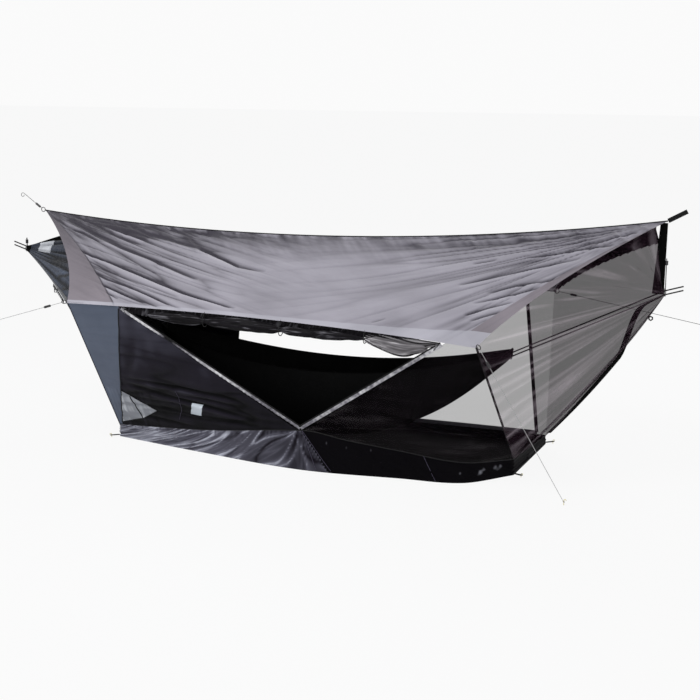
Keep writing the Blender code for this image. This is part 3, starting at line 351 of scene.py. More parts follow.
def camera():
    back = Vector((math.sin(PAN) * math.cos(TILT), -math.cos(PAN) * math.cos(TILT), math.sin(TILT)))
    right = Vector((math.cos(PAN), math.sin(PAN), 0))
    up = back.cross(right)
    across = right * math.cos(ROLL) + up * math.sin(ROLL)
    above = up * math.cos(ROLL) - right * math.sin(ROLL)
    data = bpy.data.cameras.new("camera")
    data.lens, data.sensor_width = LENS, SENSOR
    made = linked("camera", data)
    made.matrix_world = Matrix.Translation(EYE) @ Matrix((across, above, back)).transposed().to_4x4()
    bpy.context.scene.camera = made


def world():
    made = bpy.data.worlds.new("studio")
    made.use_nodes = True
    tree = made.node_tree
    soft = tree.nodes["Background"]
    fill(tree, soft, {"Color": SKY, "Strength": SKY_LIGHT})
    fill(tree, tree.nodes["World Output"], {0: seen_white(tree, "Background", soft.outputs[0])})
    bpy.context.scene.world = made


def floor():
    bm = bmesh.new()
    bmesh.ops.create_grid(bm, x_segments=1, y_segments=1, size=FLOOR_SIZE)
    mesh = bpy.data.meshes.new("floor")
    bm.to_mesh(mesh)
    bm.free()
    made = linked("floor", mesh)
    made.location.z = -FLOOR_BELOW
    paint, tree, shader = paint_with("floor", grey(FLOOR_GREY), 0.9)
    shown = seen_white(tree, "Emission", shader.outputs[0])
    mixed = add(tree, "MixShader", {0: FLOOR_SHADE, 1: shown, 2: shader.outputs[0]})
    fill(tree, tree.nodes["Material Output"], {0: mixed.outputs[0]})
    mesh.materials.append(paint)


def lamp(name, place, aim, size, power):
    data = bpy.data.lights.new(name, "AREA")
    data.size, data.energy = size, power
    made = linked(name, data)
    made.location = place
    made.rotation_euler = (Vector(aim) - Vector(place)).to_track_quat("-Z", "Y").to_euler()


# Curves and noise


def smooth_through(pairs, at):
    """The smooth curve's value at a place, through (place, value) pairs."""
    places, values = zip(*pairs)
    at = min(max(at, places[0]), places[-1])
    k = max(i for i in range(len(places) - 1) if places[i] <= at)

    def slope(i):
        a, b = max(i - 1, 0), min(i + 1, len(places) - 1)
        return (values[b] - values[a]) / (places[b] - places[a])

    width = places[k + 1] - places[k]
    t = (at - places[k]) / width
    return (
        (2 * t**3 - 3 * t**2 + 1) * values[k]
        + (t**3 - 2 * t**2 + t) * width * slope(k)
        + (3 * t**2 - 2 * t**3) * values[k + 1]
        + (t**3 - t**2) * width * slope(k + 1)
    )


def arch(t):
    """0 at both ends and 1 in the middle."""
    return 4 * t * (1 - t)


def round_ring(u, *stretches):
    """The place at u round a ring of stretches, each with its share of the ring and its place by t."""
    for share, place in stretches[:-1]:
        if u < share:
            return place(u / share)
        u -= share
    share, place = stretches[-1]
    return place(min(u / share, 1))


def bell(off, half):
    """1 at no distance, and almost nothing from twice the half width."""
    return np.exp(-((off / half) ** 2))


def capped(share, slope):
    """Rises from 0 at that slope, up to 1."""
    return np.minimum(1, share * slope)


def stacked(*parts):
    return np.stack(np.broadcast_arrays(*parts), -1)


def turning(us, radius):
    """Places on a circle, so that noise round a closed sheet meets itself."""
    return np.cos(us * 2 * np.pi) * radius, np.sin(us * 2 * np.pi) * radius


def noise_over(points, scale=1, seed=0):
    """Smooth noise at every point, from about -1 to 1."""
    flat = (points.reshape(-1, 3) * np.array(scale) + seed).tolist()
    return np.array([noise.noise(p) for p in flat]).reshape(points.shape[:-1])


def ridged(points, seed, power):
    """Sharp lines in smooth noise: 1 on each line, and the thinner the higher the power."""
    return (1 - np.abs(noise_over(points, 1, seed))) ** power


# Building blocks


def dressed(obj, slot, body="tent", replaces=()):
    """Rides on its body, and hides the CAD nodes it stands for. Its slot is not used."""
    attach(obj, body)
    if replaces:
        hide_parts(*replaces)
    return obj


def grid(name, place, columns, rows, paints, facing, relief=None, paint_at=None, closed=False, deep=0.012):
    """A cloth sheet over place(u, v), raised along its normal by relief(points, U, V).

    The relief gives heights, and may give a tint for each too, by which the folds' painted light is moved:
    painted shade in the valleys and painted highlights on the crests. A fold as high as deep has the tone of
    a crest.
    """
    us, vs = np.linspace(0, 1, columns + 1), np.linspace(0, 1, rows + 1)
    points = np.array([[place(u, v) for u in us.tolist()] for v in vs.tolist()])
    tone = np.full(points.shape[:2], 0.5)
    if relief:
        along = np.gradient(points, axis=1)
        if closed:
            ring = points[:, :-1]
            along = (np.roll(ring, -1, 1) - np.roll(ring, 1, 1)) / 2
            along = np.concatenate([along, along[:, :1]], 1)
        normals = np.cross(along, np.gradient(points, axis=0))
        normals /= np.linalg.norm(normals, axis=-1, keepdims=True) + 1e-12
        way = facing(points) if callable(facing) else np.array(facing)
        normals *= np.where((normals * way).sum(-1, keepdims=True) < 0, -1, 1)
        raised = relief(points, *np.meshgrid(us, vs))
        height, tint = raised if isinstance(raised, tuple) else (raised, 0)
        points = points + normals * height[..., None]
        # Painted fold light: shade in the valleys and highlights on the crests, moved by the tint.
        tone = np.clip(0.5 + height / deep / 2 + tint, 0, 1)
    across = np.cumsum(np.linalg.norm(np.diff(points, axis=1, prepend=points[:, :1]), axis=-1), 1)
    down = np.cumsum(np.linalg.norm(np.diff(points, axis=0, prepend=points[:1]), axis=-1), 0)
    wide = columns if closed else columns + 1
    cells = [(j, k) for j in range(rows) for k in range(columns)]
    turns = ((0, 0), (0, 1), (1, 1), (1, 0))
    mesh = bpy.data.meshes.new(name)
    faces = [[(j + b) * wide + (k + a) % wide for b, a in turns] for j, k in cells]
    mesh.from_pydata(points[:, :wide].reshape(-1, 3).tolist(), [], faces)
    tones = mesh.attributes.new("painted_fold_light", "FLOAT", "POINT")
    tones.data.foreach_set("value", tone[:, :wide].ravel().astype(np.float32))
    corners = [(across[j + b, k + a], down[j + b, k + a]) for j, k in cells for b, a in turns]
    mesh.uv_layers.new(name="metres").data.foreach_set("uv", np.array(corners, np.float32).ravel())
    for paint in paints:
        mesh.materials.append(paint)
    if paint_at:
        index = [paint_at((k + 0.5) / columns, (j + 0.5) / rows) for j, k in cells]
        mesh.polygons.foreach_set("material_index", np.array(index, np.int32))
    mesh.shade_smooth()
    return linked(name, mesh)


def inlay(obj, corners, paint):
    """Cuts the sheet along a convex outline given in x and z, and gives what is inside another material."""
    mesh = obj.data
    mesh.materials.append(paint)
    bm = bmesh.new()
    bm.from_mesh(mesh)
    middle = Vector((sum(x for x, _ in corners), 0, sum(z for _, z in corners))) / len(corners)
    planes = []
    for (ax, az), (bx, bz) in zip(corners, corners[1:] + corners[:1]):
        start = Vector((ax, 0, az))
        normal = Vector((bz - az, 0, ax - bx)).normalized()
        if normal.dot(middle - start) < 0:
            normal = -normal
        planes.append((start, normal))
        geometry = bm.verts[:] + bm.edges[:] + bm.faces[:]
        bmesh.ops.bisect_plane(bm, geom=geometry, plane_co=start, plane_no=normal)
    for face in bm.faces:
        centre = face.calc_center_median()
        if all((centre - start).dot(normal) > 0 for start, normal in planes):
            face.material_index = len(mesh.materials) - 1
    bm.to_mesh(mesh)
    bm.free()


def laid_on(obj, side, corners, lift, step=0.02):
    """A line given by its corners in x and z, laid on the outside of an upright sheet."""
    mesh = obj.data
    tree = BVHTree.FromPolygons([v.co for v in mesh.vertices], [tuple(p.vertices) for p in mesh.polygons])
    inwards = Vector((0, -side, 0))
    points = []
    for (ax, az), (bx, bz) in zip(corners, corners[1:]):
        pieces = max(1, round(math.hypot(bx - ax, bz - az) / step))
        for k in range(pieces + 1):
            share = k / pieces
            start = Vector((ax + (bx - ax) * share, side * 3, az + (bz - az) * share))
            hit = tree.ray_cast(start, inwards)[0]
            if hit is not None and (not points or (hit - inwards * lift - points[-1]).length > step / 10):
                points.append(hit - inwards * lift)
    return points


def curve(name, points, radius, paint, cyclic=False):
    """A round cord through the points."""
    data = bpy.data.curves.new(name, "CURVE")
    data.dimensions = "3D"
    data.bevel_depth = radius
    data.bevel_resolution = 3
    data.use_fill_caps = not cyclic
    spline = data.splines.new("POLY")
    spline.points.add(len(points) - 1)
    for knot, point in zip(spline.points, points):
        knot.co = (*point, 1)
    spline.use_cyclic_u = cyclic
    data.materials.append(paint)
    return linked(name, data)


def ribbon(name, points, width, facing, paint, thickness=0.0012, wave=0.0, waves=0, tint=None):
    """A flat tape along the points, turned towards its facing direction. A tint moves its tone along it."""
    facing = Vector(facing)
    steps = len(points) - 1

    def place(u, v):
        k = min(int(u * steps), steps - 1)
        here = points[k].lerp(points[k + 1], u * steps - k)
        along = (points[min(k + 2, steps)] - points[max(k - 1, 0)]).normalized()
        ripple = wave * math.sin(2 * math.pi * waves * u) * (v - 0.5) * 2
        wide = width(u) if callable(width) else width
        return here + facing.cross(along).normalized() * wide * (v - 0.5) + facing * ripple

    def relief(places, us, vs):
        return np.zeros_like(us), tint(places, us, vs)

    made = grid(name, place, max(steps * 4, 12, waves * 6), 3, [paint], facing, relief if tint else None)
    shell = made.modifiers.new("tape", "SOLIDIFY")
    shell.thickness = thickness
    shell.offset = 0
    return made


def straight(start, stop, pieces=12):
    return [start.lerp(stop, k / pieces) for k in range(pieces + 1)]


# Rainfly


def ridge_point(u):
    return RIDGE_LEFT.lerp(RIDGE_RIGHT, u) - UP * RIDGE_SAG * arch(u)


def hem_point(side, u):
    point = FLY_CORNER[LEFT, side].lerp(FLY_CORNER[RIGHT, side], u)
    return point + Vector((0, -side * HEM_HOLLOW, HEM_RISE)) * arch(u)


HEM_START = FLY_CORNER[LEFT, FRONT].x
HEM_SPAN = FLY_CORNER[RIGHT, FRONT].x - HEM_START
RIDGE_SPAN = RIDGE_RIGHT.x - RIDGE_LEFT.x


def hem_share(x):
    return (x - HEM_START) / HEM_SPAN


def fly_point(side, u, v):
    """A point of the rainfly's front or rear half: u from left to right, v from the ridge to the hem."""
    point = ridge_point(u).lerp(hem_point(side, u), v)
    point.x += FLY_END_HOLLOW * arch(v) * ((1 - u) ** 4 - u**4)
    return point


def wing_share(v, width):
    """How far along a row the seam of an end strip lies, straight from the apex to the hem."""
    return width * v / (RIDGE_SPAN * (1 - v) + HEM_SPAN * v)


# Each fold: its course in x and y seen from above, how deep it presses in, and its half width
FLY_FOLDS = (
    (((-1.75, -0.06), (-1.50, -0.16), (-1.23, -0.27), (-0.96, -0.36), (-0.58, -0.51)), 0.016, 0.022),
    (
        ((-1.54, -0.34), (-1.41, -0.384), (-1.23, -0.434), (-1.03, -0.50), (-0.59, -0.655), (-0.25, -0.744)),
        0.018, 0.017,
    ),
    (((-1.34, -0.517), (-1.13, -0.602), (-0.97, -0.644), (-0.76, -0.72), (-0.62, -0.775)), 0.014, 0.013),
    (((-1.22, -0.629), (-1.01, -0.704), (-0.87, -0.753), (-0.78, -0.775)), 0.012, 0.012),
    (((-1.175, -0.665), (-1.025, -0.78)), 0.011, 0.010),
    (((-1.14, -0.69), (-0.954, -0.775)), 0.010, 0.009),
    (((-1.45, -0.073), (-1.25, -0.131), (-1.1, -0.17)), 0.013, 0.020),
    (((-1.23, -0.07), (-0.94, -0.144), (-0.75, -0.2)), 0.009, 0.020),
    (((-0.73, -0.199), (-0.53, -0.287), (-0.39, -0.351)), 0.010, 0.017),
    (((-1.64, -0.159), (-1.53, -0.188), (-1.4, -0.24)), 0.011, 0.013),
    (((-1.074, -0.555), (-0.80, -0.636), (-0.6, -0.70)), 0.009, 0.012),
    (((-0.72, -0.205), (-0.39, -0.353), (-0.20, -0.385)), 0.010, 0.020),
    (((-0.465, -0.693), (-0.218, -0.748)), 0.010, 0.012),
    (((0.602, -0.756), (0.671, -0.718)), 0.006, 0.009),
    (((1.134, -0.692), (1.298, -0.617)), 0.012, 0.011),
    (((1.09, -0.653), (1.329, -0.559)), 0.014, 0.012),
    (((1.115, -0.576), (1.382, -0.486), (1.46, -0.455)), 0.014, 0.012),
    (((1.167, -0.497), (1.313, -0.443), (1.547, -0.40)), 0.013, 0.013),
    (((0.99, -0.436), (1.336, -0.323), (1.62, -0.25)), 0.012, 0.016),
    (((1.305, -0.223), (1.774, -0.16)), 0.012, 0.014),
    (((1.572, -0.16), (1.88, -0.07)), 0.010, 0.012),
    (((1.016, -0.265), (1.143, -0.232)), 0.009, 0.013),
)
FLY_COLUMNS, FLY_ROWS = 300, 120
FLY_LEFT_COLUMNS, FLY_RIGHT_COLUMNS, FLY_BAND_ROWS = 0.08, 0.05, 0.05
BAND_SHARES = ((0, 0.022), (0.3, 0.026), (0.6, 0.034), (0.85, 0.07), (0.95, 0.1), (1, 0.1))
# Gathers that fan out from each ridge end: apex, seed, strength and how close they lie
RIDGE_FANS = ((RIDGE_LEFT, 3.1, 0.5, 14), (RIDGE_RIGHT, 8.7, 1.2, 22))


def folds_over(points, folds, side, slim=1.0):
    """The height of narrow folds: each presses in along its course and stands up a little beside it."""
    plan = points[..., :2] * np.array((1, -side))
    height = np.zeros(points.shape[:-1])
    for course, depth, width in folds:
        course, width = np.array(course), width * slim
        spans = np.linalg.norm(np.diff(course, axis=0), axis=1)
        ends = np.concatenate([[0], np.cumsum(spans)]) / spans.sum()
        nearest = np.full(height.shape, 9.0)
        beside, share = np.zeros(height.shape), np.zeros(height.shape)
        for k, start in enumerate(course[:-1]):
            along = course[k + 1] - start
            t = np.clip(((plan - start) @ along) / (along @ along), 0, 1)
            off = plan - start - t[..., None] * along
            far = np.linalg.norm(off, axis=-1)
            closer = far < nearest
            nearest = np.where(closer, far, nearest)
            beside = np.where(closer, off @ np.array((-along[1], along[0])) / spans[k], beside)
            share = np.where(closer, ends[k] + (ends[k + 1] - ends[k]) * t, share)
        shoulder = bell(nearest - 1.9 * width, width) * (beside < 0)
        height += depth * np.sqrt(np.clip(arch(share), 0, 1)) * (shoulder * 0.5 - bell(nearest, width))
    return height


def fan(x, fall, apex, seed, spread, reach_scale):
    """Places for noise that fans out from an apex."""
    along = np.abs(x - apex.x)
    return stacked(np.arctan2(fall, along) * spread, np.hypot(fall, along) * reach_scale, seed)


def fly_relief(side):
    def relief(points, us, vs):
        x, out = points[..., 0], np.abs(points[..., 1])
        fall = out * 1.15
        height = folds_over(points, FLY_FOLDS, side, 0.7)
        for apex, seed, amount, spread in RIDGE_FANS:
            reach = np.hypot(fall, x - apex.x)
            fade = amount * bell(reach, 1.35) * capped(reach, 2.5)
            height -= 0.011 * fade * ridged(fan(x, fall, apex, seed, spread, 1.0), 0, 8)
            height += 0.004 * fade * noise_over(fan(x, fall, apex, seed + 5, 50, 2.0))
        across, along = out - 0.33 * x, x + 0.3 * out
        pulls = stacked(across * 13, along * 1.1, 0)
        left_part = bell(x + 1.15, 0.75)
        height -= left_part * (0.012 * ridged(pulls, 5.3, 9) + 0.008 * ridged(pulls * (1.7, 1.2, 1), 9.1, 12))
        height += 0.0025 * left_part * noise_over(stacked(across * 34, along * 2.2, 0), 1, 1.1)
        near_ridge = bell(fall, 0.2)
        rough = 1.8 * noise_over(stacked(x * 13 - fall * 12, fall * 5, 0), 1, 4.2)
        rough += 1.4 * noise_over(stacked(x * 38 - fall * 30, fall * 9, 0), 1, 2.2)
        height += 0.004 * near_ridge * rough + 0.0015 * noise_over(points, (5, 9, 5), 1.7)
        edge = capped(arch(us), 9) * capped(vs, 25) * capped(1 - vs, 14)
        left, right = us < FLY_LEFT_COLUMNS, us > 1 - FLY_RIGHT_COLUMNS
        # Painted shade in a blotchy band along the ridge, where the cloth gathers; the tint also darkens the
        # left end and, on the left wing, the part nearer the ridge.
        tint = -0.25 * near_ridge * (1.1 + rough) - 0.1 * bell(x + 1.6, 0.3**0.5) * (1 - vs)
        tint = np.where(left, -0.38 * (1 - vs) ** 1.3, tint)
        seam = np.abs(us - FLY_LEFT_COLUMNS) < 0.6 / FLY_COLUMNS
        tint = np.where(seam & (side == FRONT), -0.5, tint)
        return height * edge * np.where(left, 0.12, np.where(right, 0.2, 1)), tint * capped(1 - vs, 14)

    return relief


def fly_share(u, v):
    """From even shares of the mesh to shares of the rainfly, with rows and columns along its seams."""
    band, edge = smooth_through(BAND_SHARES, u), 1 - FLY_BAND_ROWS
    v = v / edge * (1 - band) if v < edge else 1 - band + (v - edge) / FLY_BAND_ROWS * band
    left, right = wing_share(v, LEFT_WING), 1 - wing_share(v, RIGHT_WING)
    if u < FLY_LEFT_COLUMNS:
        return left * u / FLY_LEFT_COLUMNS, v
    if u > 1 - FLY_RIGHT_COLUMNS:
        return 1 - (1 - right) * (1 - u) / FLY_RIGHT_COLUMNS, v
    return left + (right - left) * (u - FLY_LEFT_COLUMNS) / (1 - FLY_LEFT_COLUMNS - FLY_RIGHT_COLUMNS), v


def fly_paint(u, v):
    if v > 1 - FLY_BAND_ROWS:
        return 2
    return 1 if u < FLY_LEFT_COLUMNS or u > 1 - FLY_RIGHT_COLUMNS else 0


def build_fly(side, name):
    def place(u, v):
        turned = max(0, (v - 1 + FLY_BAND_ROWS) / FLY_BAND_ROWS)
        return fly_point(side, *fly_share(u, v)) + Vector((0, side * 0.006, -0.006)) * turned

    paints, facing = [FLY_MAIN, FLY_WING, FLY_HEM], (0, side * 0.5, 1)
    relief = fly_relief(side)
    made = grid(f"rainfly_{name}_cloth", place, FLY_COLUMNS, FLY_ROWS, paints, facing, relief, fly_paint)
    dressed(made, "fly_fabric", replaces=[f"rainfly_{name}"])


# Tub

# Shares of the tub wall's mesh along a long side and a short end, and where the doorway's foot divides it
TUB_SIDE, TUB_END = 0.38, 0.12
TUB_FOOT_X, TUB_FOOT_LEAN = 0.145, 0.17
# Painted highlights on short creases in the front of the tub: x, share of the height, lean, half width and
# brightness
TUB_GLINTS = (
    (1.155, 0.5, 0.05, 0.008, 0.7),
    (1.215, 0.6, -0.03, 0.007, 0.5),
    (1.235, 0.65, -0.04, 0.006, 0.4),
    (1.06, 0.45, -0.05, 0.004, 0.3),
    (0.30, 0.8, -0.06, 0.004, 0.22),
    (0.42, 0.75, -0.05, 0.004, 0.18),
    (0.56, 0.8, -0.05, 0.004, 0.2),
)
# Seams down the front of the tub: x at the rim and at the ground
TUB_SEAMS = ((0.155, 0.33), (0.155, 0.24), (0.86, 0.93))
# How much painted light the cloth gets at a distance left of the doorway's foot: lit on its left, shaded on
# its right
TUB_PAINTED_LIGHT = ((-0.2, 0.05, 0.3, 0.9, 1.3), (-0.44, -0.4, -0.22, 0.04, 0.12))


def floor_place(x, y, z):
    return Vector((x + FLOOR_SHIFT, y + x * FLOOR_SLANT, z))


def side_point(side, s, height_share):
    """A point of the tub's long side: s from -1 at the left corner to 1, height_share from the ground up."""
    bulge, shares, rims = TUB_SIDES[side]
    out = FLOOR_END_HALF_WIDTH + bulge * smooth_through(shares, s)
    return floor_place(s * FLOOR_HALF_LENGTH, side * out, RIM_HEIGHT * smooth_through(rims, s) * height_share)


def end_point(end, t, height_share):
    """A point of the tub's short end: t runs from 0 at the front corner to 1 at the rear."""
    return side_point(FRONT, end, height_share).lerp(side_point(REAR, end, height_share), t)


def floor_s(x):
    return (x - FLOOR_SHIFT) / FLOOR_HALF_LENGTH


def rim_point(side, x):
    return side_point(side, floor_s(x), 1)


def tub_edge(u, up):
    """Round the tub from the front left corner: the front, the right end, the rear and the left end."""
    return round_ring(
        u,
        (TUB_SIDE, lambda t: side_point(FRONT, 2 * t - 1, up)),
        (TUB_END, lambda t: end_point(RIGHT, t, up)),
        (TUB_SIDE, lambda t: side_point(REAR, 1 - 2 * t, up)),
        (TUB_END, lambda t: end_point(LEFT, 1 - t, up)),
    )


def tub_relief(points, us, vs):
    """Pleats that fan out from the doorway's foot on its left, with painted highlights and shade along them,
    and painted highlights on short creases in the shaded cloth.
    """
    left_by, side, down = TUB_FOOT_X - points[..., 0], np.sign(points[..., 1]), 1 - vs
    slant = left_by - down * np.where(left_by > 0, 0.08 + 0.3 * np.minimum(1, left_by), -0.18)
    near = bell(left_by, 0.22)
    course = slant * (1 - near) + np.arctan2(left_by, 0.03 + down * RIM_HEIGHT) * 0.22 * near
    pleats = stacked(course * 15, vs * 0.9, side * 9)
    fine = stacked(course * 46, vs * 1.4, side * 9)
    gathers = stacked(left_by * 70, vs * 2.0, side * 9)
    sharp, dark = ridged(pleats, 0.3, 13), ridged(pleats, 7.3, 9)
    height = np.clip(arch(vs) * 1.6, 0, 1) * (0.008 * sharp - 0.006 * dark + 0.002 * noise_over(fine))
    # Painted light: lit left of the doorway's foot and shaded right of it, with painted highlights along the
    # sharp pleats and painted shade along the dark ones.
    tint = np.interp(left_by, *TUB_PAINTED_LIGHT) + 0.6 * sharp + 0.22 * ridged(fine, 2.3, 9) - 0.34 * dark
    # Painted light and shade, mottled, in the gathers just under the rim.
    tint += bell(down, 0.22) * np.clip(down * 20, 0, 1) * (0.3 * noise_over(gathers, 1, 4.1) - 0.04)
    # Painted highlights on short creases in the shaded cloth at the front and faint ones on the rear pleats;
    # the shaded cloth is darker still.
    right = np.zeros_like(tint)
    for x, share, lean, half, level in TUB_GLINTS:
        right += level * bell(points[..., 0] - x - lean * (vs - share), half) * bell(vs - share, 0.16)
    right = np.where(side < 0, right, 0.1 * sharp)
    return height, np.where(left_by > -TUB_FOOT_LEAN * down, tint, right - 0.1) - height / 0.012 / 2


def tub_paint(u, v):
    """A lit copy of the nylon left of the doorway's foot and a shaded copy right of it: painted light and
    painted shade.
    """
    return 0 if tub_edge(u, 0).x < TUB_FOOT_X + TUB_FOOT_LEAN * (1 - v) else 1


def build_tub():
    centre = floor_place(0, 0, 0)

    def floor_cloth(u, v):
        point = centre.lerp(tub_edge(u, 0), 0.01 + 0.99 * v)
        point.z = 0.001
        return point

    def wall_cloth(u, v):
        return tub_edge(u, 0.008 + 0.992 * v)

    def outwards(points):
        return points * np.array((1, 1, 0)) + np.array((-FLOOR_SHIFT, 0, 0.02))

    def floor_relief(points, us, vs):
        return 0.002 * np.abs(noise_over(points, (5, 9, 5), 2)) * capped(1 - vs, 8)

    made = grid("tub_floor_cloth", floor_cloth, 160, 40, [TUB_FLOOR], (0, 0, 1), floor_relief, closed=True)
    dressed(made, "tub_fabric", replaces=["tub_floor"])
    paints = [TUB, TUB_SHADED]
    made = grid("tub_wall_cloth", wall_cloth, 560, 30, paints, outwards, tub_relief, tub_paint, closed=True)
    dressed(made, "tub_fabric", replaces=["tub_wall"])
    for side, name in SIDES:
        line = [side_point(side, -1 + k / 30, 1) + Vector((0, side * 0.001, -0.001)) for k in range(61)]
        dressed(curve(f"{name}_rim_seam", line, 0.0022, BLACK_CORD), "webbing")
    for x_top, x_foot in TUB_SEAMS:
        shares = [(floor_s(x_top + (x_foot - x_top) * k / 8), 1 - k / 8.5) for k in range(9)]
        line = [side_point(FRONT, *share) + Vector((0, -0.004, 0)) for share in shares]
        dressed(curve(f"tub_seam_{round(x_foot * 100)}", line, 0.0014, SEAM), "tub_fabric")


# Walls

WALL_FOLDS = (
    (((-1.02, 0.426), (-0.76, 0.419), (-0.485, 0.400), (-0.22, 0.38)), 0.012, 0.010),
    (((-1.02, 0.392), (-0.78, 0.349), (-0.51, 0.318), (-0.14, 0.262)), 0.012, 0.012),
    (((-0.85, 0.414), (-0.478, 0.40)), 0.008, 0.009),
    (((-1.0, 0.45), (-0.9, 0.6), (-0.86, 0.75)), 0.006, 0.02),
    (((-0.7, 0.36), (-0.45, 0.355), (-0.25, 0.335)), 0.008, 0.008),
    (((-0.6, 0.24), (-0.3, 0.23), (-0.05, 0.215)), 0.007, 0.010),
    (((-0.8, 0.25), (-0.5, 0.235)), 0.006, 0.009),
)
# Outlines on the front left wall, in x and z: the seam of its blue and dark cloth, its window and its patch
PANEL_SEAM = ((-0.92, 0.90), (-0.949, 0.749), (-1.035, 0.472), (-1.174, 0.056))
WINDOW = ((-1.083, 0.331), (-0.848, 0.223), (-0.974, 0.155), (-1.16, 0.10))
PATCH = ((-0.564, 0.317), (-0.488, 0.314), (-0.524, 0.235), (-0.597, 0.239))
INLAYS = ((((-1.5, 1.0), *PANEL_SEAM, (-1.5, 0.04)), BLUE_PANEL), (WINDOW, WINDOW_NET), (PATCH, LABEL))
# The lines on that wall: name, course in x and z, radius and colour
WALL_LINES = (
    ("left_panel_seam", PANEL_SEAM, 0.003, BLACK_CORD),
    ("window_batten", ((-1.03, 0.30), (-0.98, 0.155)), 0.003, BLACK_CORD),
    ("window_edge", WINDOW, 0.0015, BLACK_CORD),
    # A pale line along a crease: a painted highlight.
    ("crease_highlight", ((-0.66, 0.385), (-0.65, 0.32), (-0.66, 0.25), (-0.69, 0.19)), 0.0012, SEAM),
)
# How far a panel's edge lies beside the middle of its tape: at the hem in tape widths, and at the rim
TAPE_CLEARANCE = {FRONT: (0.2, 0.02), REAR: (0, 0.002)}


def leg(side, end):
    """A zip leg's top under the hem and its foot on the rim."""
    top = hem_point(side, hem_share(end * DOOR_REACH[end])) - UP * 0.001
    rim = rim_point(side, DOOR_FOOT[end, side])
    fall = (top - rim).normalized()
    lift = ZIP_WIDTH / 2 / math.hypot(fall.x, fall.y) if side == FRONT else ZIP_WIDTH / 2 + 0.001
    return top, rim + UP * lift


def corner_edge(end, side, t):
    return FLY_CORNER[end, side].lerp(end_point(end, 0 if side == FRONT else 1, 1), t)


def wall_place(side, end):
    """A Coons patch between the hem, the rim, the body's corner edge and the zip."""
    top_in, foot_in = leg(side, end)
    hem_from, hem_to = (0 if end == LEFT else 1), hem_share(end * DOOR_REACH[end])
    rim_from, rim_to = FLOOR_SHIFT + end * FLOOR_HALF_LENGTH, DOOR_FOOT[end, side]
    to_wall = (corner_edge(end, side, 0.6) - foot_in).normalized()
    down = (foot_in - top_in).normalized()
    widths, foot_clearance = TAPE_CLEARANCE[side]
    aside = (to_wall - down * to_wall.dot(down)).normalized() * ZIP_WIDTH * widths
    top_in, foot_in = top_in + aside, rim_point(side, rim_to + end * foot_clearance)

    def top(u):
        return hem_point(side, hem_from + (hem_to - hem_from) * u) + aside * u

    def foot(u):
        return rim_point(side, rim_from + (rim_to - rim_from) * u) * (1 - u**8) + foot_in * u**8

    def place(u, v):
        upright = corner_edge(end, side, v) * (1 - u) + top_in.lerp(foot_in, v) * u
        corners = top(0) * (1 - u) * (1 - v) + top(1) * u * (1 - v) + foot(0) * (1 - u) * v + foot(1) * u * v
        return top(u) * (1 - v) + foot(u) * v + upright - corners

    return place


def wall_relief(folds, amount):
    def relief(points, us, vs):
        x, y, z = (points[..., k] for k in range(3))
        upright = stacked(x, z, 0)
        long_folds = stacked(x * 2.0, z * 15, y)
        fine = noise_over(stacked(x * 4.0, z * 38, y), 1, 2.2)
        height = folds_over(upright, folds, FRONT) + amount * (0.35 * fine - ridged(long_folds, 6.5, 6))
        height *= capped(arch(us), 4) * capped(arch(vs), 4)
        if not folds:
            low = np.clip(vs * 1.6 - 0.3, 0, 1)
            return height, low * (0.22 * ridged(long_folds, 1.7, 7) + 0.05 * fine)
        seam_x, seam_z = zip(*PANEL_SEAM[::-1])
        blue = x < np.interp(z, seam_z, seam_x)
        calm = np.where(blue, 0.12, np.clip(1.3 - z / 0.6, 0.15, 1))
        clouds = noise_over(points, (14, 3, 9), 4.4) * np.where(blue, 0.06, 0.14)
        stripes = 0.45 * noise_over(upright, (70, 4, 1), 2.6) * (z < 0.34) * (x < -0.85)
        return height * calm, 0.36 - 0.7 * vs * np.where(blue, 0.5, 1) + clouds + stripes

    return relief


def build_wall(side, side_name, end, end_name):
    wall = f"{side_name}_{end_name}"
    marked = (side, end) == (FRONT, LEFT)
    columns = 120 if side == FRONT else 50
    paint, amount, slot = (DARK_PANEL, 0.010, "dark_fabric") if end == LEFT else (NET, 0.004, "net_fabric")
    place, relief = wall_place(side, end), wall_relief(WALL_FOLDS if marked else (), amount)
    made = grid(f"{wall}_panel", place, columns, 90, [paint], (0, side, 0.2), relief, deep=0.010)
    if marked:
        for corners, colour in INLAYS:
            inlay(made, corners, colour)
        for name, line, radius, colour in WALL_LINES:
            dressed(curve(name, laid_on(made, side, line, 0.002), radius, colour), "webbing")
    dressed(made, slot, replaces=[f"{wall}_wall"])


# Zips

TAPE_PROUD, TAPE_STEPS = 0.003, 40


def narrowed(u):
    """The width of the front left tape, which is folded over between its top and its middle."""
    return ZIP_WIDTH * (1 - 0.5 * math.exp(-(((u - 0.3) / 0.12) ** 4)))


TAPE_WIDTHS = {FRONT: {LEFT: narrowed, RIGHT: ZIP_WIDTH}, REAR: {LEFT: ZIP_WIDTH, RIGHT: 0.014}}


def puckers(end):
    """The tones of a stitched front tape, with painted highlights on two folds and painted shade in one on
    the left leg.
    """

    def tint(points, us, vs):
        tone = 0.35 * noise_over(points, (60, 60, 60), 3.1) + 0.25 * noise_over(points, (14, 14, 14), 6.1)
        if end == RIGHT:
            return tone + 0.12
        fold_highlight = bell(us - 0.12, 0.09) + 0.5 * bell(us - 0.55, 0.1)
        return tone * 0.8 + 0.5 * fold_highlight - 0.75 * bell(us - 0.27, 0.035)

    return tint


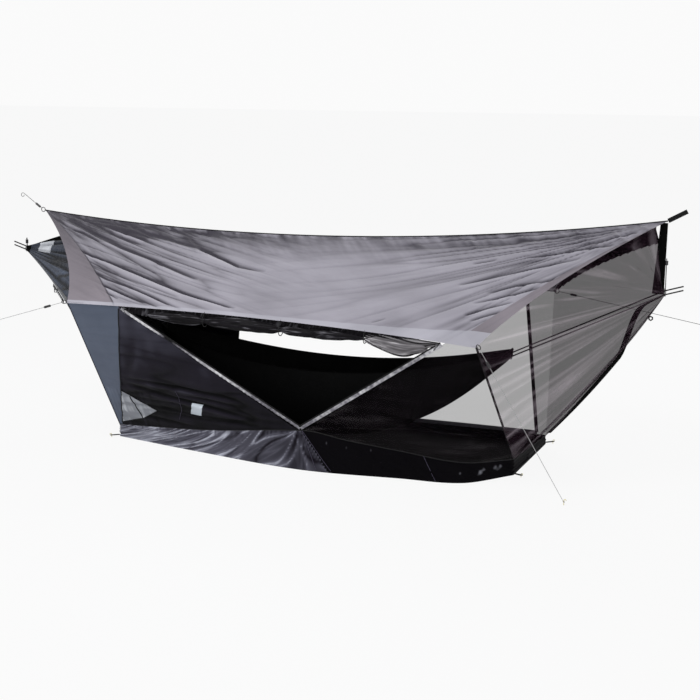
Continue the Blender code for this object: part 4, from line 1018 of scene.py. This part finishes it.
def build_zips(side, side_name):
    facing = Vector((0, side, -0.25)).normalized()
    widths = TAPE_WIDTHS[side]
    for end, end_name in ENDS:
        top, foot = leg(side, end)
        beside = (facing.cross((foot - top).normalized()) * end * side).normalized() * ZIP_WIDTH * 0.45
        line = [point + facing * TAPE_PROUD for point in straight(top, foot, TAPE_STEPS)[1:]]
        paint, tint = (TAPE, puckers(end)) if side == FRONT else (BLACK_WEB, None)
        name = f"{side_name}_{end_name}_zip"
        tape = ribbon(f"{name}_tape", line, widths[end], facing, paint, 0.001, 0.0016, 46, tint)
        dressed(tape, "zip_tape", replaces=[f"{side_name}_zip_tape"] if end == LEFT else [])
        coil = [point + beside + facing * 0.001 for point in line]
        dressed(curve(f"{name}_coil", coil, 0.0042, COIL), "zip_tape")
    if side == REAR:
        xs = np.linspace(leg(side, LEFT)[1].x, leg(side, RIGHT)[1].x, 40)
        line = [rim_point(side, x) + UP * ZIP_WIDTH / 2 + facing * TAPE_PROUD for x in xs]
        dressed(ribbon("rear_foot_zip_tape", line, ZIP_WIDTH, facing, TAPE, 0.001, 0.0012, 60), "zip_tape")


# Rolled doors

PINCH, PINCH_HALF_WIDTH = 0.45, 0.02
LINING_FROM = 0.8
VALANCE_DEPTHS = (
    (0, 0.03), (0.1, 0.055), (0.5, 0.055), (0.7, 0.05),
    (0.78, 0.04), (0.9, 0.018), (0.98, 0.001), (1, 0.001),
)


def roll_x(t):
    return -ROLL_REACH[LEFT] + (ROLL_REACH[LEFT] + ROLL_REACH[RIGHT]) * t


def roll_centre(side, t):
    drop = ROLL_DROP + ROLL_RADIUS + ROLL_BELLY_DROP * smooth_through(ROLL_DROP_SHARES, t)
    return hem_point(side, hem_share(roll_x(t))) - UP * drop


def roll_radius(side, t):
    waist = min(abs(t - tie) for tie in TIE_SHARES[side]) / PINCH_HALF_WIDTH
    return ROLL_RADIUS * smooth_through(ROLL_WIDTH_SHARES, t) * (1 - PINCH * math.exp(-(waist**2)))


def build_roll(side, name):
    def place(u, v):
        t = 0.002 + 0.996 * v
        angle = 2 * math.pi * u
        radius = roll_radius(side, t) * min(1, math.sqrt(arch(v) * 30 + 0.01))
        return roll_centre(side, t) + radius * Vector((0, math.cos(angle), math.sin(angle)))

    def outwards(points):
        middle = np.array([roll_centre(side, v) for v in np.linspace(0, 1, points.shape[0])])
        return points - middle[:, None]

    def relief(points, us, vs):
        around = turning(us, 2.2)
        long_folds = stacked(points[..., 0] * 3.5, *around)
        creases = stacked(points[..., 0] * 22 + us * 9, *around)
        height = 0.0025 * noise_over(creases) - 0.008 * ridged(long_folds, 3, 3)
        shine = np.where(vs < 0.2, 0.5, 0.35) * ridged(long_folds, 8, 7)
        return height, shine + 0.12 * noise_over(creases, 1, 5) - 0.05

    def paint(u, v):
        """The paler lining shows in the loose end of the front roll."""
        return 1 if side == FRONT and v > LINING_FROM else 0

    paints = [DOOR_ROLL, SWAG]
    made = grid(f"{name}_rolled_door", place, 40, 260, paints, outwards, relief, paint, closed=True)
    dressed(made, "dark_fabric", replaces=[f"{name}_door_roll"])


def build_valance(side, name):
    """A short gathered strip that hangs from the hem behind the rolled door."""
    left, right = hem_share(-DOOR_REACH[LEFT] + 0.01), hem_share(DOOR_REACH[RIGHT] - 0.04)

    def place(u, v):
        deep = smooth_through(VALANCE_DEPTHS, u)
        pleat = 0.08 * deep * math.sin(2 * math.pi * 85 * u + 2 * math.sin(u * 31)) * v
        under = Vector((0, -side * 0.008 + pleat, -0.002 - deep * v))
        return hem_point(side, left + (right - left) * u) + under

    def relief(points, us, vs):
        pleats = stacked(points[..., 0] * 75 + vs * 1.5, vs * 0.8, 0)
        broad = stacked(points[..., 0] * 9, vs * 0.8, 0)
        # Painted highlights and shade in streaks along the fine pleats.
        pleat_light_and_shade = 0.5 * noise_over(pleats) * (0.6 + 0.4 * noise_over(broad, 1, 2))
        return 0.0015 * noise_over(pleats, 1, 3), pleat_light_and_shade - 0.05

    made = grid(f"{name}_valance", place, 1100, 8, [DOOR_ROLL], (0, side, 0), relief)
    dressed(made, "dark_fabric")


def build_swag():
    """The loose end of the front door, which hangs in folds between the hem and its roll."""

    def place(u, v):
        t = 0.79 + 0.25 * u
        top = hem_point(FRONT, hem_share(roll_x(t))) + Vector((0, 0.012, -0.012))
        low = roll_centre(FRONT, t) + Vector((0, -0.02, -roll_radius(FRONT, t) * 1.05))
        return top.lerp(top.lerp(low, 1 - max(0, (t - 0.93) / 0.12) ** 2), v)

    def relief(points, us, vs):
        # Painted shade along its sharp folds, and a mottled tone near the roll.
        sharp = ridged(stacked(us * 1.8, vs * 6 - us * 2.5, 0), 2.4, 4)
        frill = np.clip((vs - 0.82) * 9, 0, 1) * noise_over(stacked(us * 42, vs * 3, 0), 1, 6)
        return (0.004 - 0.012 * sharp) * capped(arch(vs), 3), 0.1 - 0.8 * sharp + 0.6 * frill

    made = grid("front_door_swag", place, 90, 40, [SWAG], (0, -1, 0), relief)
    dressed(made, "dark_fabric")


# End covers

# Shares of a cover's mouth along a corner edge, the tub's end and a slope of the rainfly
EDGE_SHARE, END_SHARE, TOP_SHARE = 0.2, 0.1, 0.25
SLOPES_FROM = 2 * EDGE_SHARE + END_SHARE
MOUTH_INSET = UP * 0.004
# Two deep creases of the hood, painted as dark shadows with a faint highlight beside them: as shares round
# its mouth and towards its sleeve, and its spans both ways
HOOD_CREASE_SHADOWS = (((0.972, 0.34), (0.928, 0.17)), ((0.99, 0.19), (0.96, 0.075)))
HOOD_SPANS = np.array((2.3, 0.95))


def under_fly(side, end, v):
    reach = (end * COVER_RIDGE_REACH[end] - RIDGE_LEFT.x) / RIDGE_SPAN
    corner, below = (0.004, 0.006 + 0.02 * arch(v)) if end == LEFT else (0.996, 0.004)
    return fly_point(side, reach + (corner - reach) * v, v) - UP * below


def mouth(end, u):
    """Round the cover's mouth: the front edge down, the tub, the rear edge up, and the rainfly's slopes."""
    return round_ring(
        u,
        (EDGE_SHARE, lambda t: corner_edge(end, FRONT, t) - MOUTH_INSET),
        (END_SHARE, lambda t: end_point(end, t, 1)),
        (EDGE_SHARE, lambda t: corner_edge(end, REAR, 1 - t) - MOUTH_INSET),
        (TOP_SHARE, lambda t: under_fly(REAR, end, 1 - t)),
        (TOP_SHARE, lambda t: under_fly(FRONT, end, t)),
    )


def cover_place(end):
    sleeve = SLEEVE[end]
    inwards = Vector((-end, 0, 0))

    def place(u, v):
        start = mouth(end, u % 1)
        angle = math.atan2(start.z - sleeve.z, start.y - sleeve.y)
        ring = sleeve + SLEEVE_RADIUS * Vector((0, math.cos(angle), math.sin(angle)))
        depth = max(0, sleeve.z - start.z) / sleeve.z
        return start.lerp(ring, v) + (inwards * 0.75 + UP * 0.65) * COVER_HOLLOW[end] * depth * arch(v)

    return place


def cover_relief(end, amount, often):
    def relief(points, us, vs):
        turn = stacked(*turning(us, often), vs * 0.9)
        fine = stacked(*turning(us, often * 3.5), vs * 1.8)
        edge = np.clip(arch(vs) * 3, 0, 1) * np.clip(1.3 - vs, 0, 1)
        sharp, light = ridged(turn, 5, 5), ridged(turn, 9, 5)
        height = amount * (0.35 * noise_over(fine, 1, 1) - sharp) * edge
        height = np.where(us > SLOPES_FROM, np.minimum(height, 0), height)
        # In the tint the sharp folds get painted shade and the light lines painted highlights.
        if end == RIGHT:
            tint = 0.55 * light - 0.3 * sharp + 0.2 * noise_over(fine, 1, 4)
            return height, tint * np.clip(1.3 - vs, 0, 1)
        tint = (0.3 * light - 0.5 * sharp + 0.15 * noise_over(points, (9, 9, 9), 3)) * np.clip(1.2 - vs, 0, 1)
        place = stacked(us, vs) * HOOD_SPANS
        # Painted shadow in each deep crease, with a faint painted highlight on its shoulder.
        for start, stop in HOOD_CREASE_SHADOWS * HOOD_SPANS:
            along = stop - start
            share = np.clip(((place - start) @ along) / (along @ along), 0, 1)
            off = np.linalg.norm(place - start - share[..., None] * along, axis=-1)
            tint = tint - 0.7 * bell(off, 0.013) + 0.12 * bell(off - 0.035, 0.02)
        return height, tint

    return relief


def net_paint(u, v):
    """Painted shade: black cloth along the rear slope of the net end, standing for the shaded underside of
    the rainfly there, and netting elsewhere.
    """
    along = (u - SLOPES_FROM) / TOP_SHARE
    return 1 if 0 < along < 1 and v < 0.03 + 0.27 * along else 0


def hood_paint(u, v):
    """A net gore beside the ridge of the hood, under a black strip, and the black cloth round its sleeve."""
    if v > 0.94 or 0.738 < u < 0.772:
        return 2
    return 1 if 0.772 < u < 0.868 and 0.63 < v < 0.82 else 0


HOOD_PAINTS, NET_PAINTS = (HOOD, WINDOW_NET, BLACK_CLOTH), (END_NET, BLACK_CLOTH)
# Each cover: end, node, sheet, finish, area, depth and number of its folds, materials and material by place
COVERS = (
    (LEFT, "left_end_hood", "left_hood_cloth", "hood_fabric", 2.2, 0.022, 4, HOOD_PAINTS, hood_paint),
    (RIGHT, "right_end_net", "right_net_cloth", "net_fabric", 2.0, 0.016, 7, NET_PAINTS, net_paint),
)


def build_cover(end, node, name, slot, area, amount, often, paints, paint_at):
    middle = np.array(SLEEVE[end].lerp(Vector((0, 0, 0.7)), 0.35))

    def outwards(points):
        return points - middle

    place, relief = cover_place(end), cover_relief(end, amount, often)
    made = grid(name, place, 260, 60, paints, outwards, relief, paint_at, closed=True, deep=0.016)
    dressed(made, slot, replaces=[node])


# The tapes on the body's corner edges: name, end, side and width
EDGE_TAPES = (
    ("front_left", LEFT, FRONT, 0.008), ("front_right", RIGHT, FRONT, 0.012), ("rear_left", LEFT, REAR, 0.008)
)


def build_edge_tapes():
    """Black tapes along the body's corner edges and the net's seams, and the strap at the hood's corner."""
    for name, end, side, width in EDGE_TAPES:
        line = [corner_edge(end, side, k / 12) for k in range(13)]
        facing = Vector((end * 0.5, side, 0)).normalized()
        dressed(ribbon(f"{name}_edge_tape", line, width, facing, BLACK_WEB), "webbing")
    net, line = cover_place(RIGHT), []
    for k in range(1, 39):
        turn = min(max((k / 40 - 0.6) / 0.22, 0), 1)
        line.append(net(EDGE_SHARE + END_SHARE + 0.125 * turn * turn * (3 - 2 * turn), k / 40))
    facing = Vector((0.8, -0.6, -0.2)).normalized()
    dressed(ribbon("net_rear_strip", line, lambda u: 0.03 + 0.02 * u, facing, BLACK_CLOTH), "webbing")
    turns = [Vector((math.sin(k), -0.4 * math.cos(2 * k), math.cos(k))) for k in range(7)]
    knot = [Vector((1.955, 0.03, 0.885)) + 0.011 * turn for turn in turns]
    dressed(curve("net_corner_knot", knot, 0.004, BLACK_CORD), "webbing")
    hood = cover_place(LEFT)
    line = [hood(0, 0.02 + 0.27 * k / 12) + Vector((-0.012, -0.008, -0.004)) for k in range(13)]
    facing = Vector((-0.5, -1, 0)).normalized()
    dressed(ribbon("corner_strap", line, 0.02, facing, BLACK_WEB), "webbing")
    stitched = [p + facing * 0.002 for p in line[2:9]]
    dressed(ribbon("corner_strap_stripe", stitched, 0.006, facing, PALE_WEB), "webbing")
    middle, across = line[8] + facing * 0.004, Vector((0.012, 0, 0))
    buckle = [middle + across * a + UP * 0.010 * b for a, b in ((-1, -1), (1, -1), (1, 1), (-1, 1))]
    dressed(curve("corner_strap_buckle", buckle, 0.0028, BLACK_PLASTIC, True), "webbing")
    line = straight(Vector((2.012, -0.004, 1.42)), Vector((1.995, -0.012, 1.03)))
    dressed(ribbon("net_top_strip", line, lambda u: 0.04 + 0.025 * u, (0, -1, 0), BLACK_CLOTH), "webbing")


# Hammock


def hammock_place(u, v):
    """The hung hammock: u across it from the front edge to the rear, v from the left end to the right."""
    angle = math.pi * (u - 0.5)
    half_width = GATHER_HALF_WIDTH + (HAMMOCK_HALF_WIDTH - GATHER_HALF_WIDTH) * arch(v) ** 0.62
    depth = GATHER_DEPTH + (HAMMOCK_DEPTH_SAG - HAMMOCK_EDGE_SAG - GATHER_DEPTH) * arch(v)
    low = HAMMOCK_EDGE_SAG * arch(v) + depth * math.cos(angle)
    return HAMMOCK_END[LEFT].lerp(HAMMOCK_END[RIGHT], v) + Vector((0, half_width * math.sin(angle), -low))


def build_hammock():
    def outwards(points):
        return points - np.array((0, 0, 0.62)) - points * np.array((1, 0, 0))

    def relief(points, us, vs):
        near_end = np.clip(1 - arch(vs), 0, 1) ** 1.5
        gathers = noise_over(stacked(us * 16, vs * 1.2, 0))
        height = 0.010 * near_end * gathers + 0.004 * noise_over(points, (2, 9, 5), 1)
        return height * capped(arch(us), 6) * capped(arch(vs), 8)

    made = grid("hammock_cloth", hammock_place, 70, 180, [HAMMOCK], outwards, relief)
    dressed(made, "hammock_fabric", "hammock", ["hammock_body"])
    for u, name in ((0.0, "front"), (1.0, "rear")):
        line = [hammock_place(u, k / 60) for k in range(61)]
        dressed(curve(f"hammock_{name}_hem", line, 0.003, HAMMOCK), "hammock_fabric", "hammock")


# Lines

# Each guyline from a corner of the rainfly: its name, corner, run and colour
GUYLINES = (
    ("front_left", LEFT, FRONT, Vector((-0.40, -0.095, -0.12)), PALE_CORD),
    ("front_right", RIGHT, FRONT, Vector((0.445, 0.12, -0.815)), PALE_CORD),
    ("rear_right", RIGHT, REAR, Vector((0.86, 0.32, -0.21)), BLACK_CORD),
)


def length_of(points):
    return sum((b - a).length for a, b in zip(points, points[1:]))


def guyline(prefix, anchor, outwards, run, colour, round_peg=False):
    """A taut line from its ring to the loop at its end."""
    along = run.normalized()
    across = along.cross(outwards).normalized()
    ring_centre = anchor + outwards * (RING_RADIUS + RING_WIRE + HALF_CLOTH)
    start = ring_centre + along * (RING_RADIUS + RING_WIRE + GAP / 2)
    end = ring_centre + run
    radius = PEG_RADIUS + LINE_RADIUS + GAP if round_peg else LINE_LOOP_RADIUS
    level = Vector((along.x, along.y, 0)).normalized()
    ahead, above = (level, UP.cross(level)) if round_peg else (along, across.cross(along))
    rise = UP if round_peg else across
    points = straight(start, end, 8)
    for k in range(1, 11):
        angle = 2 * math.pi * k / 12
        turned = ahead * math.sin(angle) + above * (1 - math.cos(angle))
        points.append(end + turned * radius + rise * LINE_RADIUS * 0.3 * k)
    made = curve(f"{prefix}_guyline", points, LINE_RADIUS, colour)
    dressed(made, "line", replaces=[f"{prefix}_line"])
    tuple(points[0])
    length_of(points)


def rope(name, end):
    """A hairpin of rope: its bend lies in the gathered end, its strands leave through the sleeve."""
    sign = Vector((end, 0, 0))
    gather = HAMMOCK_END[end] - UP * (GATHER_DEPTH - 0.00075 - GAP - ROPE_RADIUS)
    sleeve, spread = SLEEVE[end], UP * ROPE_SPREAD
    low_in = gather + sign * GAP
    high_in = low_in + spread * 2
    outer = sleeve + sign * ROPE_OUTSIDE + UP * (ROPE_OUTSIDE * 0.3)
    points = [outer + spread, sleeve + spread, high_in + (sleeve - gather) * 0.06, high_in]
    for k in range(1, 6):
        angle = math.pi * k / 6
        points.append(low_in + spread - sign * ROPE_SPREAD * math.sin(angle) * 1.4 + spread * math.cos(angle))
    points += [low_in, low_in + (sleeve - gather) * 0.06, sleeve - spread, outer - spread]
    made = curve(f"{name}_rope", points, ROPE_RADIUS, BLACK_CORD)
    dressed(made, "webbing", "hammock", [name])
    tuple(points[0])
    length_of(points)


def build_lines():
    outwards = Vector((-0.97, 0, 0.243)).normalized()
    guyline("left_ridge", RIDGE_LEFT - outwards * HALF_CLOTH, outwards, Vector((-0.145, 0, 0.10)), BLACK_CORD)
    for name, end, side, run, colour in GUYLINES:
        outwards = Vector((end, side * 0.5, 0)).normalized()
        guyline(name, FLY_CORNER[end, side], outwards, run, colour, name == "front_right")
    for end, name in ENDS:
        rope(f"{name}_suspension", end)


# The whole scene

bpy.context.scene.view_settings.view_transform = "Standard"
camera()
world()
floor()
for row in LAMPS:
    lamp(*row)
build_lines()
for row in SIDES:
    build_fly(*row)
build_tub()
for row in SIDES:
    for other in ENDS:
        build_wall(*row, *other)
for row in SIDES:
    build_zips(*row)
for row in SIDES:
    build_roll(*row)
for row in SIDES:
    build_valance(*row)
build_swag()
for row in COVERS:
    build_cover(*row)
build_edge_tapes()
build_hammock()
finish_nodes()
